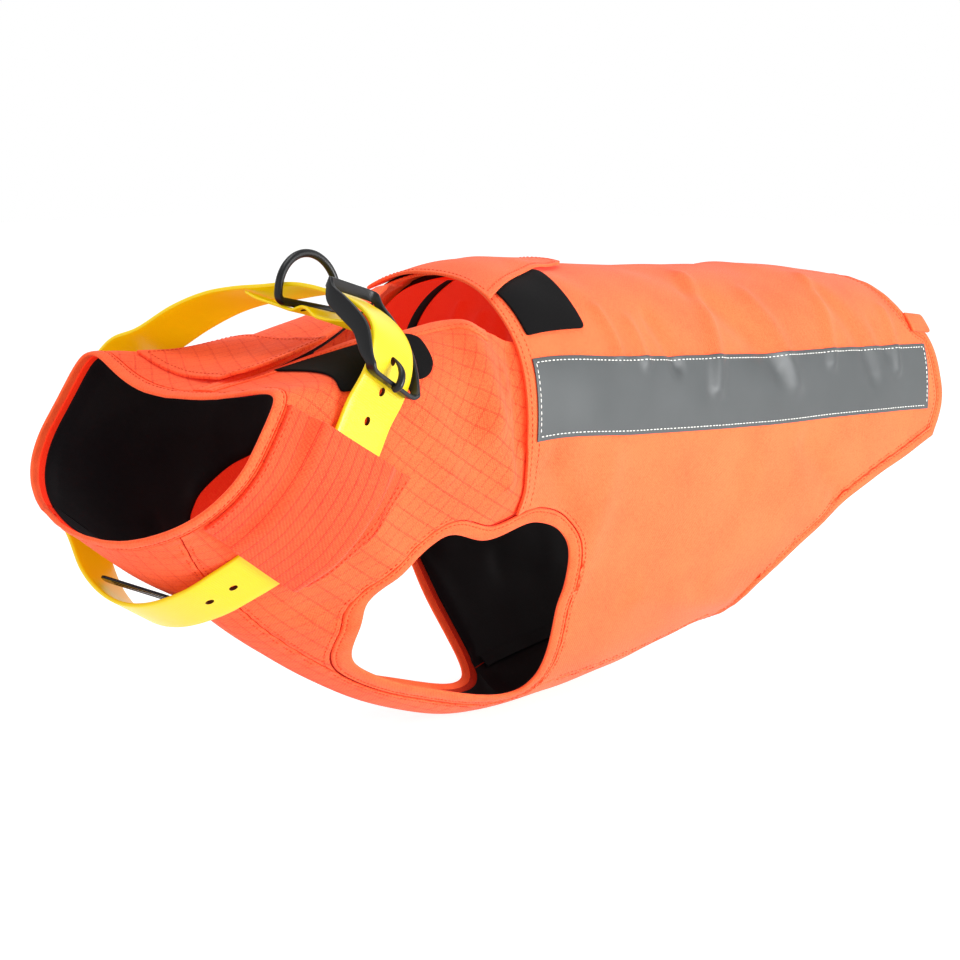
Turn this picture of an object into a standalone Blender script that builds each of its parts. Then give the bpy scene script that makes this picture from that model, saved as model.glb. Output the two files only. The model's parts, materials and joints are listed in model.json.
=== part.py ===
"""High-visibility dog vest with its neck belt, filled out as if it were worn.

The vest is laid out on one long body surface: rings set by a short table of
sizes, each ring leaning forward by its own tilt.  A place on the vest is a
station x along the body and a girth d round it, measured from the spine and
positive on the wearer's left.  Every sewn piece is a patch of that surface.

Metres, +Z up, the wearer's head towards -X and its left side towards -Y.
"""
import math

import bmesh
import bpy
import numpy as np
from mathutils import Matrix, Vector

# --- cloth and spacing -------------------------------------------------------
CLOTH = 0.0016          # wall of a sewn panel
LINING = 0.0010         # wall of a lining
INWARDS, CENTRED, OUTWARDS = -1.0, 0.0, 1.0     # where a wall lies on its surface
SEAM = 0.0008           # gap between pieces that are sewn edge to edge
LAYER = 0.0005          # gap between cloth layers that lie on each other
HEM = 0.009             # width of the turned hems
HEM_WALL = 0.0022       # the hems are folded double
HEM_PROUD = 0.0003      # and stand a little above the panels
RIM_X = -0.2452         # front edge of the neck's hem
PANEL_FRONT = RIM_X + HEM + SEAM
LINING_GAP = 0.0028     # the linings hang loosely inside the panels
LINING_EDGE = 0.0014    # and lie closer to them along the seams
LINING_FLAT = 0.0009    # closest on the belly, which is nearly flat
LINING_INSET = 0.93     # and stop short of the seams along the keel
TUCK = 0.010            # how far the shoulders reach under the saddle
TUCK_START = -0.032     # station where they begin to dip
TUCK_RUN = 0.020        # length of the dip
TUCK_REAR = 0.020       # no shoulder reaches further back or further down than this
TUCK_GIRTH = 0.200

# --- the body that the vest is cut for ---------------------------------------
# station, tilt of the ring, heights of spine, keel and widest line, half width,
# squareness above and below the widest line, hollow of the spine line
RINGS = (
    # name        x       tilt   spine   keel    widest  half    above below hollow
    ("rim",      -0.233,  0.69,  0.066, -0.030,  0.025,  0.0880, 6.0, 2.00, 0.014),
    ("nape",     -0.195,  0.66,  0.069, -0.051,  0.022,  0.0880, 4.6, 1.90, 0.010),
    ("throat",   -0.150,  0.58,  0.075, -0.072,  0.018,  0.0870, 3.4, 1.80, 0.004),
    ("chest",    -0.100,  0.42,  0.084, -0.108,  0.014,  0.0870, 2.7, 1.65, 0.000),
    ("shoulder", -0.040,  0.22,  0.098, -0.150,  0.010,  0.0870, 2.4, 1.55, 0.000),
    ("withers",   0.020,  0.05,  0.107, -0.180,  0.006,  0.0870, 2.3, 1.50, 0.000),
    ("ribs",      0.100,  0.00,  0.106, -0.183,  0.004,  0.0870, 2.2, 1.85, 0.000),
    ("waist",     0.250,  0.00,  0.098, -0.165,  0.000,  0.0870, 2.2, 2.20, 0.000),
    ("loin",      0.380,  0.00,  0.091, -0.156, -0.004,  0.0880, 2.3, 2.20, 0.000),
    ("rear",      0.480,  0.00,  0.076, -0.150, -0.008,  0.0890, 2.4, 2.20, 0.000),
)
RING_STEPS = 96         # points round half a ring
# where the back of the wearer carries the saddle, on the inner face of its lining
CARRY = (0.090, 0.0, 0.1010)

# --- folds that the cloth keeps, the same on both sides ----------------------
FOLDS = (
    # name            x0      d0      x1      d1      reach   height
    ("shoulder_top", -0.057,  0.070, -0.046,  0.128,  0.013,  0.0050),
    ("shoulder_low", -0.046,  0.128, -0.012,  0.178,  0.013,  0.0045),
    ("shoulder_dip", -0.026,  0.090, -0.018,  0.150,  0.010, -0.0030),
    ("back_front",    0.060,  0.022,  0.105,  0.088,  0.014,  0.0014),
    ("back_mid",      0.175,  0.018,  0.235,  0.092,  0.018, -0.0016),
    ("back_rear",     0.320,  0.020,  0.385,  0.094,  0.018,  0.0016),
    ("flank_front",   0.100,  0.215,  0.190,  0.262,  0.020, -0.0020),
    ("flank_rear",    0.245,  0.190,  0.330,  0.222,  0.020,  0.0020),
    ("throat_fold",  -0.170,  0.225, -0.110,  0.246,  0.010, -0.0020),
)

# --- places where one side of the collar stands away, never the same on the other
LEANS = (
    # name            x       d       reach  across  up
    ("far_corner",   -0.245, -0.090,  0.045, -0.007,  0.010),
    ("far_side",     -0.245, -0.165,  0.040,  0.004,  0.000),
)

# --- outlines, as station and girth ------------------------------------------
LEG_HOLE = (            # from the chest seam forwards, over the top and back
    # name          x       d
    ("heel_front", -0.058,  0.295),
    ("front",      -0.077,  0.254),
    ("front_top",  -0.081,  0.230),
    ("crest_front", -0.058, 0.197),
    ("crest",      -0.022,  0.206),
    ("crest_rear",  0.014,  0.202),
    ("rear_top",    0.046,  0.221),
    ("rear",        0.054,  0.270),
    ("rear_low",    0.064,  0.327),
    ("foot",        0.047,  0.3435),
    ("foot_front", -0.002,  0.326),
)
REAR_EDGE = (
    # name          x       d
    ("spine",       0.448,  0.000),
    ("back",        0.451,  0.055),
    ("notch",       0.457,  0.084),
    ("step",        0.473,  0.095),
    ("side",        0.481,  0.124),
    ("widest",      0.485,  0.147),
    ("low",         0.476,  0.175),
    ("flank",       0.432,  0.195),
    ("flank_mid",   0.370,  0.222),
    ("flank_low",   0.320,  0.256),
    ("tuck_up",     0.290,  0.284),
    ("belly",       0.279,  0.312),
)
REAR_KEEL_X = 0.270     # where the rear edge crosses the keel
REAR_TOP_ROWS = 7       # rows of the rear edge down to its low corner
SADDLE_MEETS_HOLE = (0.000, 0.195)
BELLY_MEETS_HOLE = (0.074, 0.340)
SADDLE_FRONT = (
    # name          x       d
    ("spine",       0.000,  0.000),
    ("withers",    -0.010,  0.050),
    ("side_top",   -0.009,  0.095),
    ("side",       -0.006,  0.148),
)
NEAR_TOP = (            # left shoulder's upper edge, from the rim to the saddle
    # name          x       d
    ("rim",        PANEL_FRONT, 0.0203),
    ("nape",       -0.150,  0.030),
    ("slit",       -0.111,  0.047),
    ("open",       -0.070,  0.055),
    ("sag",        -0.045,  0.070),
)
NEAR_TOP_END = 0.087    # its girth at the saddle
FAR_TOP = (             # right shoulder's upper edge crosses the spine at the nape
    # name          x       d
    ("rim",        PANEL_FRONT, -0.0200),
    ("nape",       -0.150, -0.012),
    ("slit",       -0.076,  0.008),
    ("open",       -0.040,  0.020),
)
FAR_TOP_END = 0.034
CHEST_SEAM = (          # girth kept from the keel
    # name          x       kept
    ("rim",        PANEL_FRONT, 0.0580),
    ("throat",     -0.193,  0.0430),
    ("chest",      -0.136,  0.0260),
)
BELLY_KEPT = 0.041      # half width of the belly panel
BELLY_FLARE = 0.022     # length over which it widens behind the legs

# --- counts of segments ------------------------------------------------------
HOLE_STEPS = 28         # round a leg hole
TUCK_STEPS = 6          # down a shoulder's edge under the saddle
CHEST_STEPS = 6         # across the keel
THROAT_STEPS = 12       # along the chest seam
FRONT_STEPS = 14        # from the spine to the leg hole
BELLY_STEPS = 7         # along the belly seam
FLANK_STEPS = 7         # up the slanting rear edge
KEEL_STEPS = 3          # of the rear hem, from the belly seam to the keel

# --- pieces on the back and neck ---------------------------------------------
TAPE_WIDTH = 0.050
TAPE_WALL = 0.0007
TAPE = (                # upper edge of the reflective tape
    # name          x       d
    ("front",       0.0005, 0.0985),
    ("ribs",        0.110,  0.1040),
    ("waist",       0.245,  0.1065),
    ("loin",        0.372,  0.1080),
    ("rear",        0.462,  0.1035),
)
PATCH_WALL = 0.0012
BACK_PATCH = ((0.000, 0.030), (0.066, 0.030), (0.064, 0.084), (0.003, 0.084))
REAR_TAB = ((0.450, 0.079), (0.475, 0.079), (0.476, 0.0945), (0.450, 0.0945))
NECK_PATCH = ((-0.196, 0.030), (-0.102, 0.054), (-0.102, 0.090), (-0.196, 0.088))
DORSAL_FLAP = ((-0.016, -0.054), (0.106, -0.018), (0.106, 0.018), (-0.016, 0.054))
NAPE_TAB = ((-0.221, -0.066), (-0.150, -0.060), (-0.150, 0.030), (-0.221, 0.030))
COLLAR_FLAP = ((-0.2340, 0.092), (-0.108, 0.149), (-0.125, 0.225), (-0.2340, 0.174))
FLAP_WALL = 0.0020
FLAP_BESIDE = 0.008     # a collar flap stays up this far beside the belt
FLAP_EASE = 0.012       # and comes down over this length
TAB_OVER = (-0.020, 0.030)      # girth and run where the nape tab climbs over the loop patch
TAB_ROLL = (0.012, 0.018, 0.0030)   # girth, run and height of the tab's rolled edge
UNLINED = (0.35, 0.30, 0.42)    # where a shoulder's lining leaves its upper edge, and by how much

# --- belt and hardware -------------------------------------------------------
BELT_WIDTH = 0.038
BELT_WALL = 0.0024
BELT_PLANE = (-0.1575, 30.0, 8.8)       # distance from the design origin, tilt and turn
BELT_STEPS = 84
BELT_PATH = (           # middle line in that plane, and how the width tilts and turns
    # name          across   up      tilt  turn
    ("top",         0.0200,  0.0270, 14.0, 8.0),
    ("ring",        0.0000,  0.0300, 12.0, 8.0),
    ("top_near",   -0.0150,  0.0286, 13.0, 8.0),
    ("frame_top",  -0.0300,  0.0245, 16.0, 8.0),
    ("frame",      -0.0440,  0.0192, 20.0, 8.0),
    ("frame_turn", -0.0560,  0.0120, 24.0, 7.0),
    ("frame_side", -0.0650,  0.0020, 27.0, 6.0),
    ("frame_low",  -0.0690, -0.0110, 29.0, 4.0),
    ("shoulder",   -0.0684, -0.0260, 30.0, 3.0),
    ("flap_top",   -0.0645, -0.0420, 30.0, 2.0),
    ("flap_high",  -0.0628, -0.0590, 30.0, 1.5),
    ("flap_mid",   -0.0610, -0.0795, 30.0, 1.5),
    ("flap_low",   -0.0545, -0.1000, 30.0, 1.5),
    ("flap_end",   -0.0435, -0.1190, 30.0, 1.5),
    ("throat_near", -0.0275, -0.1340, 30.0, 2.0),
    ("throat_side", -0.0110, -0.1475, 30.0, 4.0),
    ("sag_near",    0.0060, -0.1600, 30.0, 7.0),
    ("sag",         0.0270, -0.1692, 30.0, 8.8),
    ("sag_low",     0.0460, -0.1710, 30.0, 8.8),
    ("sag_far",     0.0640, -0.1660, 30.0, 8.8),
    ("far_under",   0.0810, -0.1555, 30.0, 8.8),
    ("far_low",     0.0960, -0.1400, 30.0, 8.8),
    ("far_flap",    0.1110, -0.1230, 30.0, 4.0),
    ("far_side",    0.1205, -0.1020, 30.0, 1.0),
    ("far_mid",     0.1262, -0.0800, 30.0, 0.0),
    ("far_high",    0.1270, -0.0580, 30.0, 0.0),
    ("far_top",     0.1235, -0.0360, 29.0, 1.0),
    ("far_corner",  0.1155, -0.0175, 27.0, 4.0),
    ("far_crown",   0.0990, -0.0080, 25.0, 8.0),
    ("far_rise",    0.0800,  0.0070, 24.0, 8.8),
    ("far_arch",    0.0600,  0.0180, 20.0, 8.8),
    ("arch",        0.0400,  0.0240, 16.0, 8.0),
)
FOLD_WALL = 0.0018
FOLD = (                # the belt's inner layer by the buckle, along the belt from its top
    # name      along    out
    ("tip",    -0.0120, -0.0028),
    ("pinch",  -0.0020, -0.0075),
    ("ring",    0.0190, -0.0144),
    ("wave",    0.0330, -0.0120),
    ("hang",    0.0480, -0.0155),
    ("end",     0.0700, -0.0120),
    ("tuck",    0.0960, -0.0028),
)
FOLD_STEPS = 22
BUCKLE = (              # side rails: along the belt, foot and top
    # name      along    foot     top
    ("upper",   0.0470, -0.0020,  0.0060),
    ("swell",   0.0620, -0.0085,  0.0020),
    ("middle",  0.0800, -0.0115, -0.0010),
    ("narrow",  0.1010, -0.0085,  0.0010),
    ("lower",   0.1200,  0.0000,  0.0080),
)
BUCKLE_BARS = (0.0020, 0.0085)  # foot and top of the bars across the belt
BUCKLE_HALF = 0.0225    # half its width, to the middle of a side rail
BUCKLE_WALL = 0.0026
BUCKLE_SQUARE = 9.0
BUCKLE_EASE = 0.0016    # length over which a rail turns into a bar
BUCKLE_STEPS = 56
PRONG = (               # along the belt and out
    # name      along    out
    ("root",    0.0900,  0.0030),
    ("rise",    0.1010,  0.0042),
    ("over",    0.1120,  0.0098),
    ("tip",     0.1225,  0.0108),
)
PRONG_RADIUS = 0.0014
RING_AT = 0.0190        # along the belt
RING_DEEP = -0.0100     # its bar, held between the belt's layers
RING_WIRE = 0.0025
RING_HALF = 0.0240      # half the D-ring's width, to the middle of the wire
RING_LEG = 0.006        # straight part of its legs
RING_CORNER = 0.0040
RING_TURN = 9.0         # degrees that it stands askew of the belt
SLIDE = (0.065, 0.0140, 0.0016) # length, width and thickness of the slotted slide
SLIDE_SLOTS = ((0.0026, 0.0031), (0.0083, 0.0031))  # from its upper edge, and width
SLIDE_SLOT_LENGTH = 0.052
SLIDE_CORNER = 0.004
SLIDE_ENDS = (          # of its front edge, by the belt's plane
    # name    across   up       beside
    ("far",   0.0680, -0.1572, -0.0170),
    ("near",  0.0100, -0.1602,  0.0120),
)

COLOURS = {
    "orange": ("#FF7038", 0.75, 0.0),
    "ripstop": ("#FF6232", 0.80, 0.0),
    "hem": ("#FF6838", 0.75, 0.0),
    "lining": ("#1A191A", 0.60, 0.0),
    "tape": ("#808787", 0.40, 0.2),
    "loop": ("#0D0C0C", 0.95, 0.0),
    "belt": ("#FFE600", 0.35, 0.0),
    "metal": ("#3A3C40", 0.40, 0.9),
}


# --- the body surface --------------------------------------------------------
RING_X = np.array([row[1] for row in RINGS])
RING_SIZES = np.array([row[2:] for row in RINGS])
ANGLES = np.linspace(0.0, math.pi, RING_STEPS + 1)


def ring_slopes():
    """Rate of change of every ring size at each ring, for a smooth loft."""
    steps = np.diff(RING_X)[:, None]
    rates = np.diff(RING_SIZES, axis=0) / steps
    slopes = np.vstack([rates[:1], np.zeros_like(rates)])
    slopes[-1] = rates[-1]
    for i in range(1, len(RING_X) - 1):
        before, after = steps[i - 1, 0], steps[i, 0]
        slopes[i] = (before * rates[i] + after * rates[i - 1]) / (before + after)
    return slopes


RING_SLOPES = ring_slopes()


def ring_sizes(x):
    """Sizes of the ring at station x, between the rows of the table."""
    i = int(np.clip(np.searchsorted(RING_X, x) - 1, 0, len(RING_X) - 2))
    span = RING_X[i + 1] - RING_X[i]
    t = (x - RING_X[i]) / span
    if t < 0.0:
        return RING_SIZES[0] + RING_SLOPES[0] * (x - RING_X[0])
    if t > 1.0:
        return RING_SIZES[-1] + RING_SLOPES[-1] * (x - RING_X[-1])
    blend = 3 * t**2 - 2 * t**3
    return (RING_SIZES[i] * (1 - blend) + RING_SIZES[i + 1] * blend
            + RING_SLOPES[i] * span * (t**3 - 2 * t**2 + t)
            + RING_SLOPES[i + 1] * span * (t**3 - t**2))


HALF_RINGS = {}


def half_ring(x):
    """Points down the left side of a ring, spine to keel, and girth at each."""
    key = round(x, 6)
    if key not in HALF_RINGS:
        tilt, spine, keel, widest, half, above, below, hollow = ring_sizes(x)
        upper = ANGLES <= math.pi / 2
        power = 2 / np.where(upper, above, below)
        across = half * np.abs(np.sin(ANGLES)) ** power
        reach = np.where(upper, spine - widest, keel - widest)
        height = widest + reach * np.abs(np.cos(ANGLES)) ** power
        height -= np.where(upper, hollow * (1 - (across / half) ** 2), 0.0)
        points = np.stack([x + tilt * height, -across, height], axis=-1)
        steps = np.linalg.norm(np.diff(points, axis=0), axis=1)
        HALF_RINGS[key] = points, np.concatenate([[0.0], np.cumsum(steps)])
    return HALF_RINGS[key]


def keel_girth(x):
    """Girth from the spine to the keel at station x."""
    return half_ring(x)[1][-1]


def plain_point(x, d):
    """Point of the unfolded surface at station x and girth d."""
    points, girths = half_ring(x)
    side = 1.0 if d >= 0.0 else -1.0
    d = abs(d)
    if d > girths[-1]:
        d = 2 * girths[-1] - d
        side = -side
    point = np.array([np.interp(d, girths, points[:, axis]) for axis in range(3)])
    point[1] *= side
    for _name, x0, d0, reach, across, up in LEANS:
        share = math.exp(-((x - x0) ** 2 + (side * d - d0) ** 2) / reach**2)
        point += (0.0, across * share, up * share)
    return point


def plain_normal(x, d, step=0.003):
    """Outward direction of the surface at station x and girth d."""
    along = plain_point(x + step, d) - plain_point(x - step, d)
    around = plain_point(x, d + step) - plain_point(x, d - step)
    normal = np.cross(around, along)
    return normal / np.linalg.norm(normal)


def fold_relief(x, d):
    """Height of the kept folds at a place, the same left and right."""
    height = 0.0
    here = np.array([x, abs(d)])
    for _name, x0, d0, x1, d1, reach, rise in FOLDS:
        start, end = np.array([x0, d0]), np.array([x1, d1])
        run = end - start
        t = float(np.clip((here - start) @ run / (run @ run), 0.0, 1.0))
        away = np.linalg.norm(here - start - t * run) / reach
        height += rise * math.exp(-away**2)
    return height


def body_point(x, d, out=0.0):
    """Point at station x and girth d, moved out from the folded surface."""
    return plain_point(x, d) + plain_normal(x, d) * (out + fold_relief(x, d)) - np.array(CARRY)


# --- outlines in station and girth -------------------------------------------
def spline(rows, steps, closed=False):
    """Evenly spaced points on a smooth curve through rows of a name and numbers."""
    knots = np.array([row[1:] for row in rows], dtype=float)
    if closed:
        knots = np.vstack([knots[-1], knots, knots[0], knots[1]])
    else:
        knots = np.vstack([2 * knots[0] - knots[1], knots, 2 * knots[-1] - knots[-2]])
    dense = []
    for a, b, c, e in zip(knots, knots[1:], knots[2:], knots[3:]):
        for t in np.linspace(0.0, 1.0, 24, endpoint=False):
            dense.append(0.5 * (2 * b + (c - a) * t + (2 * a - 5 * b + 4 * c - e) * t**2
                                + (3 * b - a - 3 * c + e) * t**3))
    dense.append(knots[-2])
    return even_points(np.array(dense), steps)


def even_points(curve, steps):
    """steps + 1 points at even distances along a polyline, by its first two columns."""
    lengths = np.linalg.norm(np.diff(curve[:, :2], axis=0), axis=1)
    run = np.concatenate([[0.0], np.cumsum(lengths)])
    stops = np.linspace(0.0, run[-1], steps + 1)
    return np.stack([np.interp(stops, run, column) for column in curve.T], axis=-1)


def moved_aside(curve, distance, closed=False):
    """A curve moved sideways, to the left of its direction."""
    if closed:
        before, after = np.roll(curve, 1, axis=0), np.roll(curve, -1, axis=0)
        run = after - before
    else:
        run = np.gradient(curve, axis=0)
    run /= np.linalg.norm(run, axis=1)[:, None]
    return curve + distance * np.stack([-run[:, 1], run[:, 0]], axis=-1)


def patch(top, bottom, front, rear):
    """Stations and girths that fill four edges; top and bottom run rearwards."""
    columns, lines = len(top), len(front)
    u = np.linspace(0.0, 1.0, columns)[:, None, None]
    v = np.linspace(0.0, 1.0, lines)[None, :, None]
    corners = ((1 - u) * (1 - v) * top[0] + u * (1 - v) * top[-1]
               + (1 - u) * v * bottom[0] + u * v * bottom[-1])
    return ((1 - v) * top[:, None] + v * bottom[:, None]
            + (1 - u) * front[None] + u * rear[None] - corners)


def line_between(start, end, steps):
    """steps + 1 evenly spaced points on a straight line."""
    return np.linspace(np.asarray(start, float), np.asarray(end, float), steps + 1)


def four_sided(corners, steps_u, steps_v):
    """A plain patch between four corners given in order round it."""
    a, b, c, e = (np.array(corner) for corner in corners)
    return patch(line_between(a, b, steps_u), line_between(e, c, steps_u),
                 line_between(a, e, steps_v), line_between(b, c, steps_v))


# --- objects -----------------------------------------------------------------
for old in list(bpy.data.objects):
    bpy.data.objects.remove(old, do_unlink=True)
PARTS = bpy.data.collections.new("dog_vest")
bpy.context.scene.collection.children.link(PARTS)


def linear(hex_colour):
    """An sRGB hex colour as the linear values that a shader takes."""
    values = [int(hex_colour[i:i + 2], 16) / 255 for i in (1, 3, 5)]
    return [v / 12.92 if v <= 0.04045 else ((v + 0.055) / 1.055) ** 2.4 for v in values]


def material(name, finish):
    """A Principled material of one of the vest's finishes."""
    colour, roughness, metallic = COLOURS[finish]
    made = bpy.data.materials.new(name)
    made.use_nodes = True
    shader = made.node_tree.nodes["Principled BSDF"]
    shader.inputs["Base Color"].default_value = (*linear(colour), 1.0)
    shader.inputs["Roughness"].default_value = roughness
    shader.inputs["Metallic"].default_value = metallic
    return made


def add_object(name, data, finish):
    """Put a mesh or curve in the vest's collection with a material of its own."""
    item = bpy.data.objects.new(name, data)
    PARTS.objects.link(item)
    data.materials.append(material(name, finish))
    return item


def add_wall(item, wall, side):
    """Give an open surface its thickness, to the side that is named."""
    solid = item.modifiers.new("wall", "SOLIDIFY")
    solid.thickness = wall
    solid.offset = side
    solid.use_even_offset = True


def cloth_piece(name, points, wall, finish, side=INWARDS, closed=False):
    """A sewn piece: a grid moved onto the given points, with a wall.

    points[i][j] is a place in space; closed joins the last column to the first.
    """
    columns, lines = len(points) - 1, len(points[0]) - 1
    mesh = bpy.data.meshes.new(name)
    grid = bmesh.new()
    bmesh.ops.create_grid(grid, x_segments=columns, y_segments=lines, size=1.0)
    for vert in grid.verts:
        i = round((vert.co.x + 1) / 2 * columns)
        j = round((vert.co.y + 1) / 2 * lines)
        vert.co = Vector(points[i][j])
    if closed:
        bmesh.ops.remove_doubles(grid, verts=grid.verts, dist=1e-6)
    grid.to_mesh(mesh)
    grid.free()
    mesh.shade_smooth()
    item = add_object(name, mesh, finish)
    add_wall(item, wall, side)
    return item


def surface_points(places, out=0.0):
    """Points in space of a patch, in the order that turns its faces outwards.

    out is one height, a height for every place, or a function of station and girth.
    """
    if callable(out):
        out = [[out(x, d) for x, d in column] for column in places]
    heights = np.broadcast_to(out, places.shape[:2])
    rows = [[body_point(x, d, height) for (x, d), height in zip(*pair)]
            for pair in zip(places, heights)]
    return rows[::-1]


def mirrored(places):
    """The same places on the other side of the wearer, faces still outwards."""
    return places[::-1] * np.array([1.0, -1.0])


# --- shared seams ------------------------------------------------------------
def keel_kept(x, kept):
    """A place that keeps a given girth from the keel."""
    return np.array([x, keel_girth(x) - kept])


def beyond_keel(places):
    """Places on the left taken to the right, counted on past the keel."""
    return np.array([[x, 2 * keel_girth(x) - d] for x, d in places])


class Seams:
    """The lines that neighbouring pieces share, each sampled once."""

    def __init__(self):
        self.hole_edge = spline(LEG_HOLE, HOLE_STEPS, closed=True)[:-1]
        self.hole_hem = moved_aside(self.hole_edge, -HEM, closed=True)
        hole_line = moved_aside(self.hole_edge, -(HEM + SEAM), closed=True)
        self.front_stop = self.nearest(hole_line, SADDLE_MEETS_HOLE)
        self.belly_stop = self.nearest(hole_line, BELLY_MEETS_HOLE)
        self.over_leg = hole_line[:self.front_stop + 2]
        self.behind_leg = hole_line[self.front_stop:self.belly_stop + 1]
        self.between_legs = np.vstack([hole_line[self.belly_stop:], hole_line[:1]])[::-1]
        self.chest = self.chest_seam(hole_line[0])
        self.rear_top = spline(REAR_EDGE[:REAR_TOP_ROWS], FRONT_STEPS)
        self.rear_flank = spline(REAR_EDGE[REAR_TOP_ROWS - 1:], FLANK_STEPS)
        keel_end = (REAR_KEEL_X, keel_girth(REAR_KEEL_X))
        self.rear_keel = line_between(self.rear_flank[-1], keel_end, KEEL_STEPS)
        rear = np.vstack([self.rear_top, self.rear_flank[1:], self.rear_keel[1:]])
        self.rear_edge = rear
        self.rear_hem = moved_aside(rear, HEM)
        inner = moved_aside(rear, HEM + SEAM)
        low, belly = FRONT_STEPS, FRONT_STEPS + FLANK_STEPS
        self.panel_rear = inner[:low + 1]
        self.panel_flank = inner[low:belly + 1][::-1]
        self.panel_keel = inner[belly:]
        self.belly = self.belly_seam(self.behind_leg[-1], self.panel_flank[0])

    @staticmethod
    def nearest(line, place):
        """Number of the point of a line that lies nearest a place."""
        return int(np.argmin(np.linalg.norm(line - np.array(place), axis=1)))

    @staticmethod
    def chest_seam(end):
        """From the rim to the leg hole, at the girths kept from the keel."""
        rows = [(name, *keel_kept(x, kept)) for name, x, kept in CHEST_SEAM]
        return spline(rows + [("hole", *end)], THROAT_STEPS)

    @staticmethod
    def belly_seam(start, end):
        """From behind the leg hole to the rear hem."""
        flare = keel_kept(start[0] + BELLY_FLARE, BELLY_KEPT - 0.004)
        middle = keel_kept((start[0] + end[0]) / 2, BELLY_KEPT)
        rows = [("leg", *start), ("flare", *flare), ("middle", *middle), ("rear", *end)]
        return spline(rows, BELLY_STEPS)


# --- sewn pieces -------------------------------------------------------------
def saddle_places(seams):
    """The left half of the saddle, spine to belly seam, front to rear."""
    bottom = np.vstack([seams.behind_leg, seams.belly[1:], seams.panel_flank[1:]])
    rows = list(SADDLE_FRONT) + [("hole", *seams.behind_leg[0])]
    front = spline(rows, FRONT_STEPS)
    rear = seams.panel_rear
    top = line_between(front[0], rear[0], len(bottom) - 1)
    return patch(top, bottom, front, rear)


def both_sides(places):
    """A left half joined to its mirror at the spine, from right to left."""
    right = places[:, ::-1] * np.array([1.0, -1.0])
    return np.concatenate([right[:, :-1], places], axis=1)


def shoulder_places(seams, upper_rows, upper_end):
    """A shoulder: its upper edge, the chest seam, and the leg hole at its rear."""
    end = (SADDLE_FRONT[1][1] + TUCK, upper_end)
    top = spline(list(upper_rows) + [("saddle", *end)], THROAT_STEPS)
    hole = seams.over_leg[::-1]
    rear = np.vstack([line_between(top[-1], hole[0], TUCK_STEPS), hole[1:]])
    front = line_between(top[0], seams.chest[0], len(rear) - 1)
    return patch(top, seams.chest, front, rear)


def keel_places(line, front_gap, rear_gap, rear_half=None):
    """A panel across the keel between a seam on the left and its mirror.

    rear_half is the panel's rear edge as far as the keel, where it isn't straight.
    """
    left = moved_aside(line, SEAM)
    left[0, 0] += front_gap
    left[-1, 0] -= rear_gap
    right = beyond_keel(left)
    rear = line_between(left[-1], right[-1], CHEST_STEPS)
    if rear_half is not None:
        rear[1:-1] = np.vstack([rear_half[1:], beyond_keel(rear_half[1:-1])[::-1]])
    return patch(left, right, line_between(left[0], right[0], CHEST_STEPS), rear)


def tucked(x, _d):
    """Height of a shoulder: it dips under the saddle's front edge."""
    depth = CLOTH + 3 * LAYER
    return -depth * smooth((x - TUCK_START) / TUCK_RUN)


def smooth(t):
    """A soft step from 0 to 1."""
    t = min(max(t, 0.0), 1.0)
    return t * t * (3 - 2 * t)


def make_panels(seams):
    """The outer cloth: saddle, shoulders, chest and belly."""
    saddle = saddle_places(seams)
    cloth_piece("saddle", surface_points(both_sides(saddle)), CLOTH, "orange")
    near = shoulder_places(seams, NEAR_TOP, NEAR_TOP_END)
    far = shoulder_places(seams, FAR_TOP, FAR_TOP_END)
    cloth_piece("shoulder_left", surface_points(near, tucked), CLOTH, "ripstop")
    cloth_piece("shoulder_right", surface_points(mirrored(far), tucked), CLOTH, "ripstop")
    chest_line = np.vstack([seams.chest, seams.between_legs[1:]])
    chest = keel_places(chest_line, 0.0, SEAM)
    cloth_piece("chest_panel", surface_points(chest), CLOTH, "ripstop")
    belly = keel_places(seams.belly, SEAM, 0.0, seams.panel_keel)
    cloth_piece("belly_panel", surface_points(belly), CLOTH, "orange")
    return saddle, near, far, chest, belly


def below_edge(places):
    """A shoulder's places without the unlined part along its upper edge."""
    start, run, share = UNLINED
    last = len(places) - 1
    lined = []
    for i, column in enumerate(places):
        first = share * smooth((i / last - start) / run)
        stops = np.linspace(first, 1.0, len(column)) * (len(column) - 1)
        numbers = np.arange(len(column))
        lined.append(np.stack([np.interp(stops, numbers, column[:, k]) for k in range(2)], axis=-1))
    return np.array(lined)


def nearer_keel(places):
    """Places drawn in towards the keel, clear of the seams beside it."""
    keels = np.array([[keel_girth(x) for x, _d in column] for column in places])
    girths = keels + (places[..., 1] - keels) * LINING_INSET
    return np.stack([places[..., 0], girths], axis=-1)


def line_with(name, places, edge=LINING_EDGE):
    """A lining: close to its panel along its edges and loose between them."""
    heights = np.full(places.shape[:2], -(CLOTH + edge))
    heights[1:-1, 1:-1] -= LINING_GAP - edge
    heights += [[min(tucked(x, d), 0.0) if abs(d) < TUCK_GIRTH and x < TUCK_REAR else 0.0
                 for x, d in column] for column in places]
    cloth_piece(name, surface_points(places, heights), LINING, "lining")


def make_linings(saddle, near, far, chest, belly):
    """The black lining, where the openings show it, inside each panel."""
    columns = np.r_[1:len(saddle) - 1:2, len(saddle) - 1]
    body = both_sides(saddle)[columns][:, ::2]
    body[0, :, 0] += TUCK
    line_with("lining_saddle", body)
    for side, shoulder, turn in (("left", near, np.array), ("right", far, mirrored)):
        lined = turn(below_edge(shoulder)[::2, ::2])
        line_with(f"lining_shoulder_{side}", lined)
    line_with("lining_chest", nearer_keel(chest[::2, ::2]))
    line_with("lining_belly", nearer_keel(belly[1:-1, ::2]), LINING_FLAT)


def strip_points(inner, outer, out):
    """Points of a strip between two lines, column by column along them."""
    return [[body_point(x, d, out) for x, d in pair] for pair in zip(inner, outer)]


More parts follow.
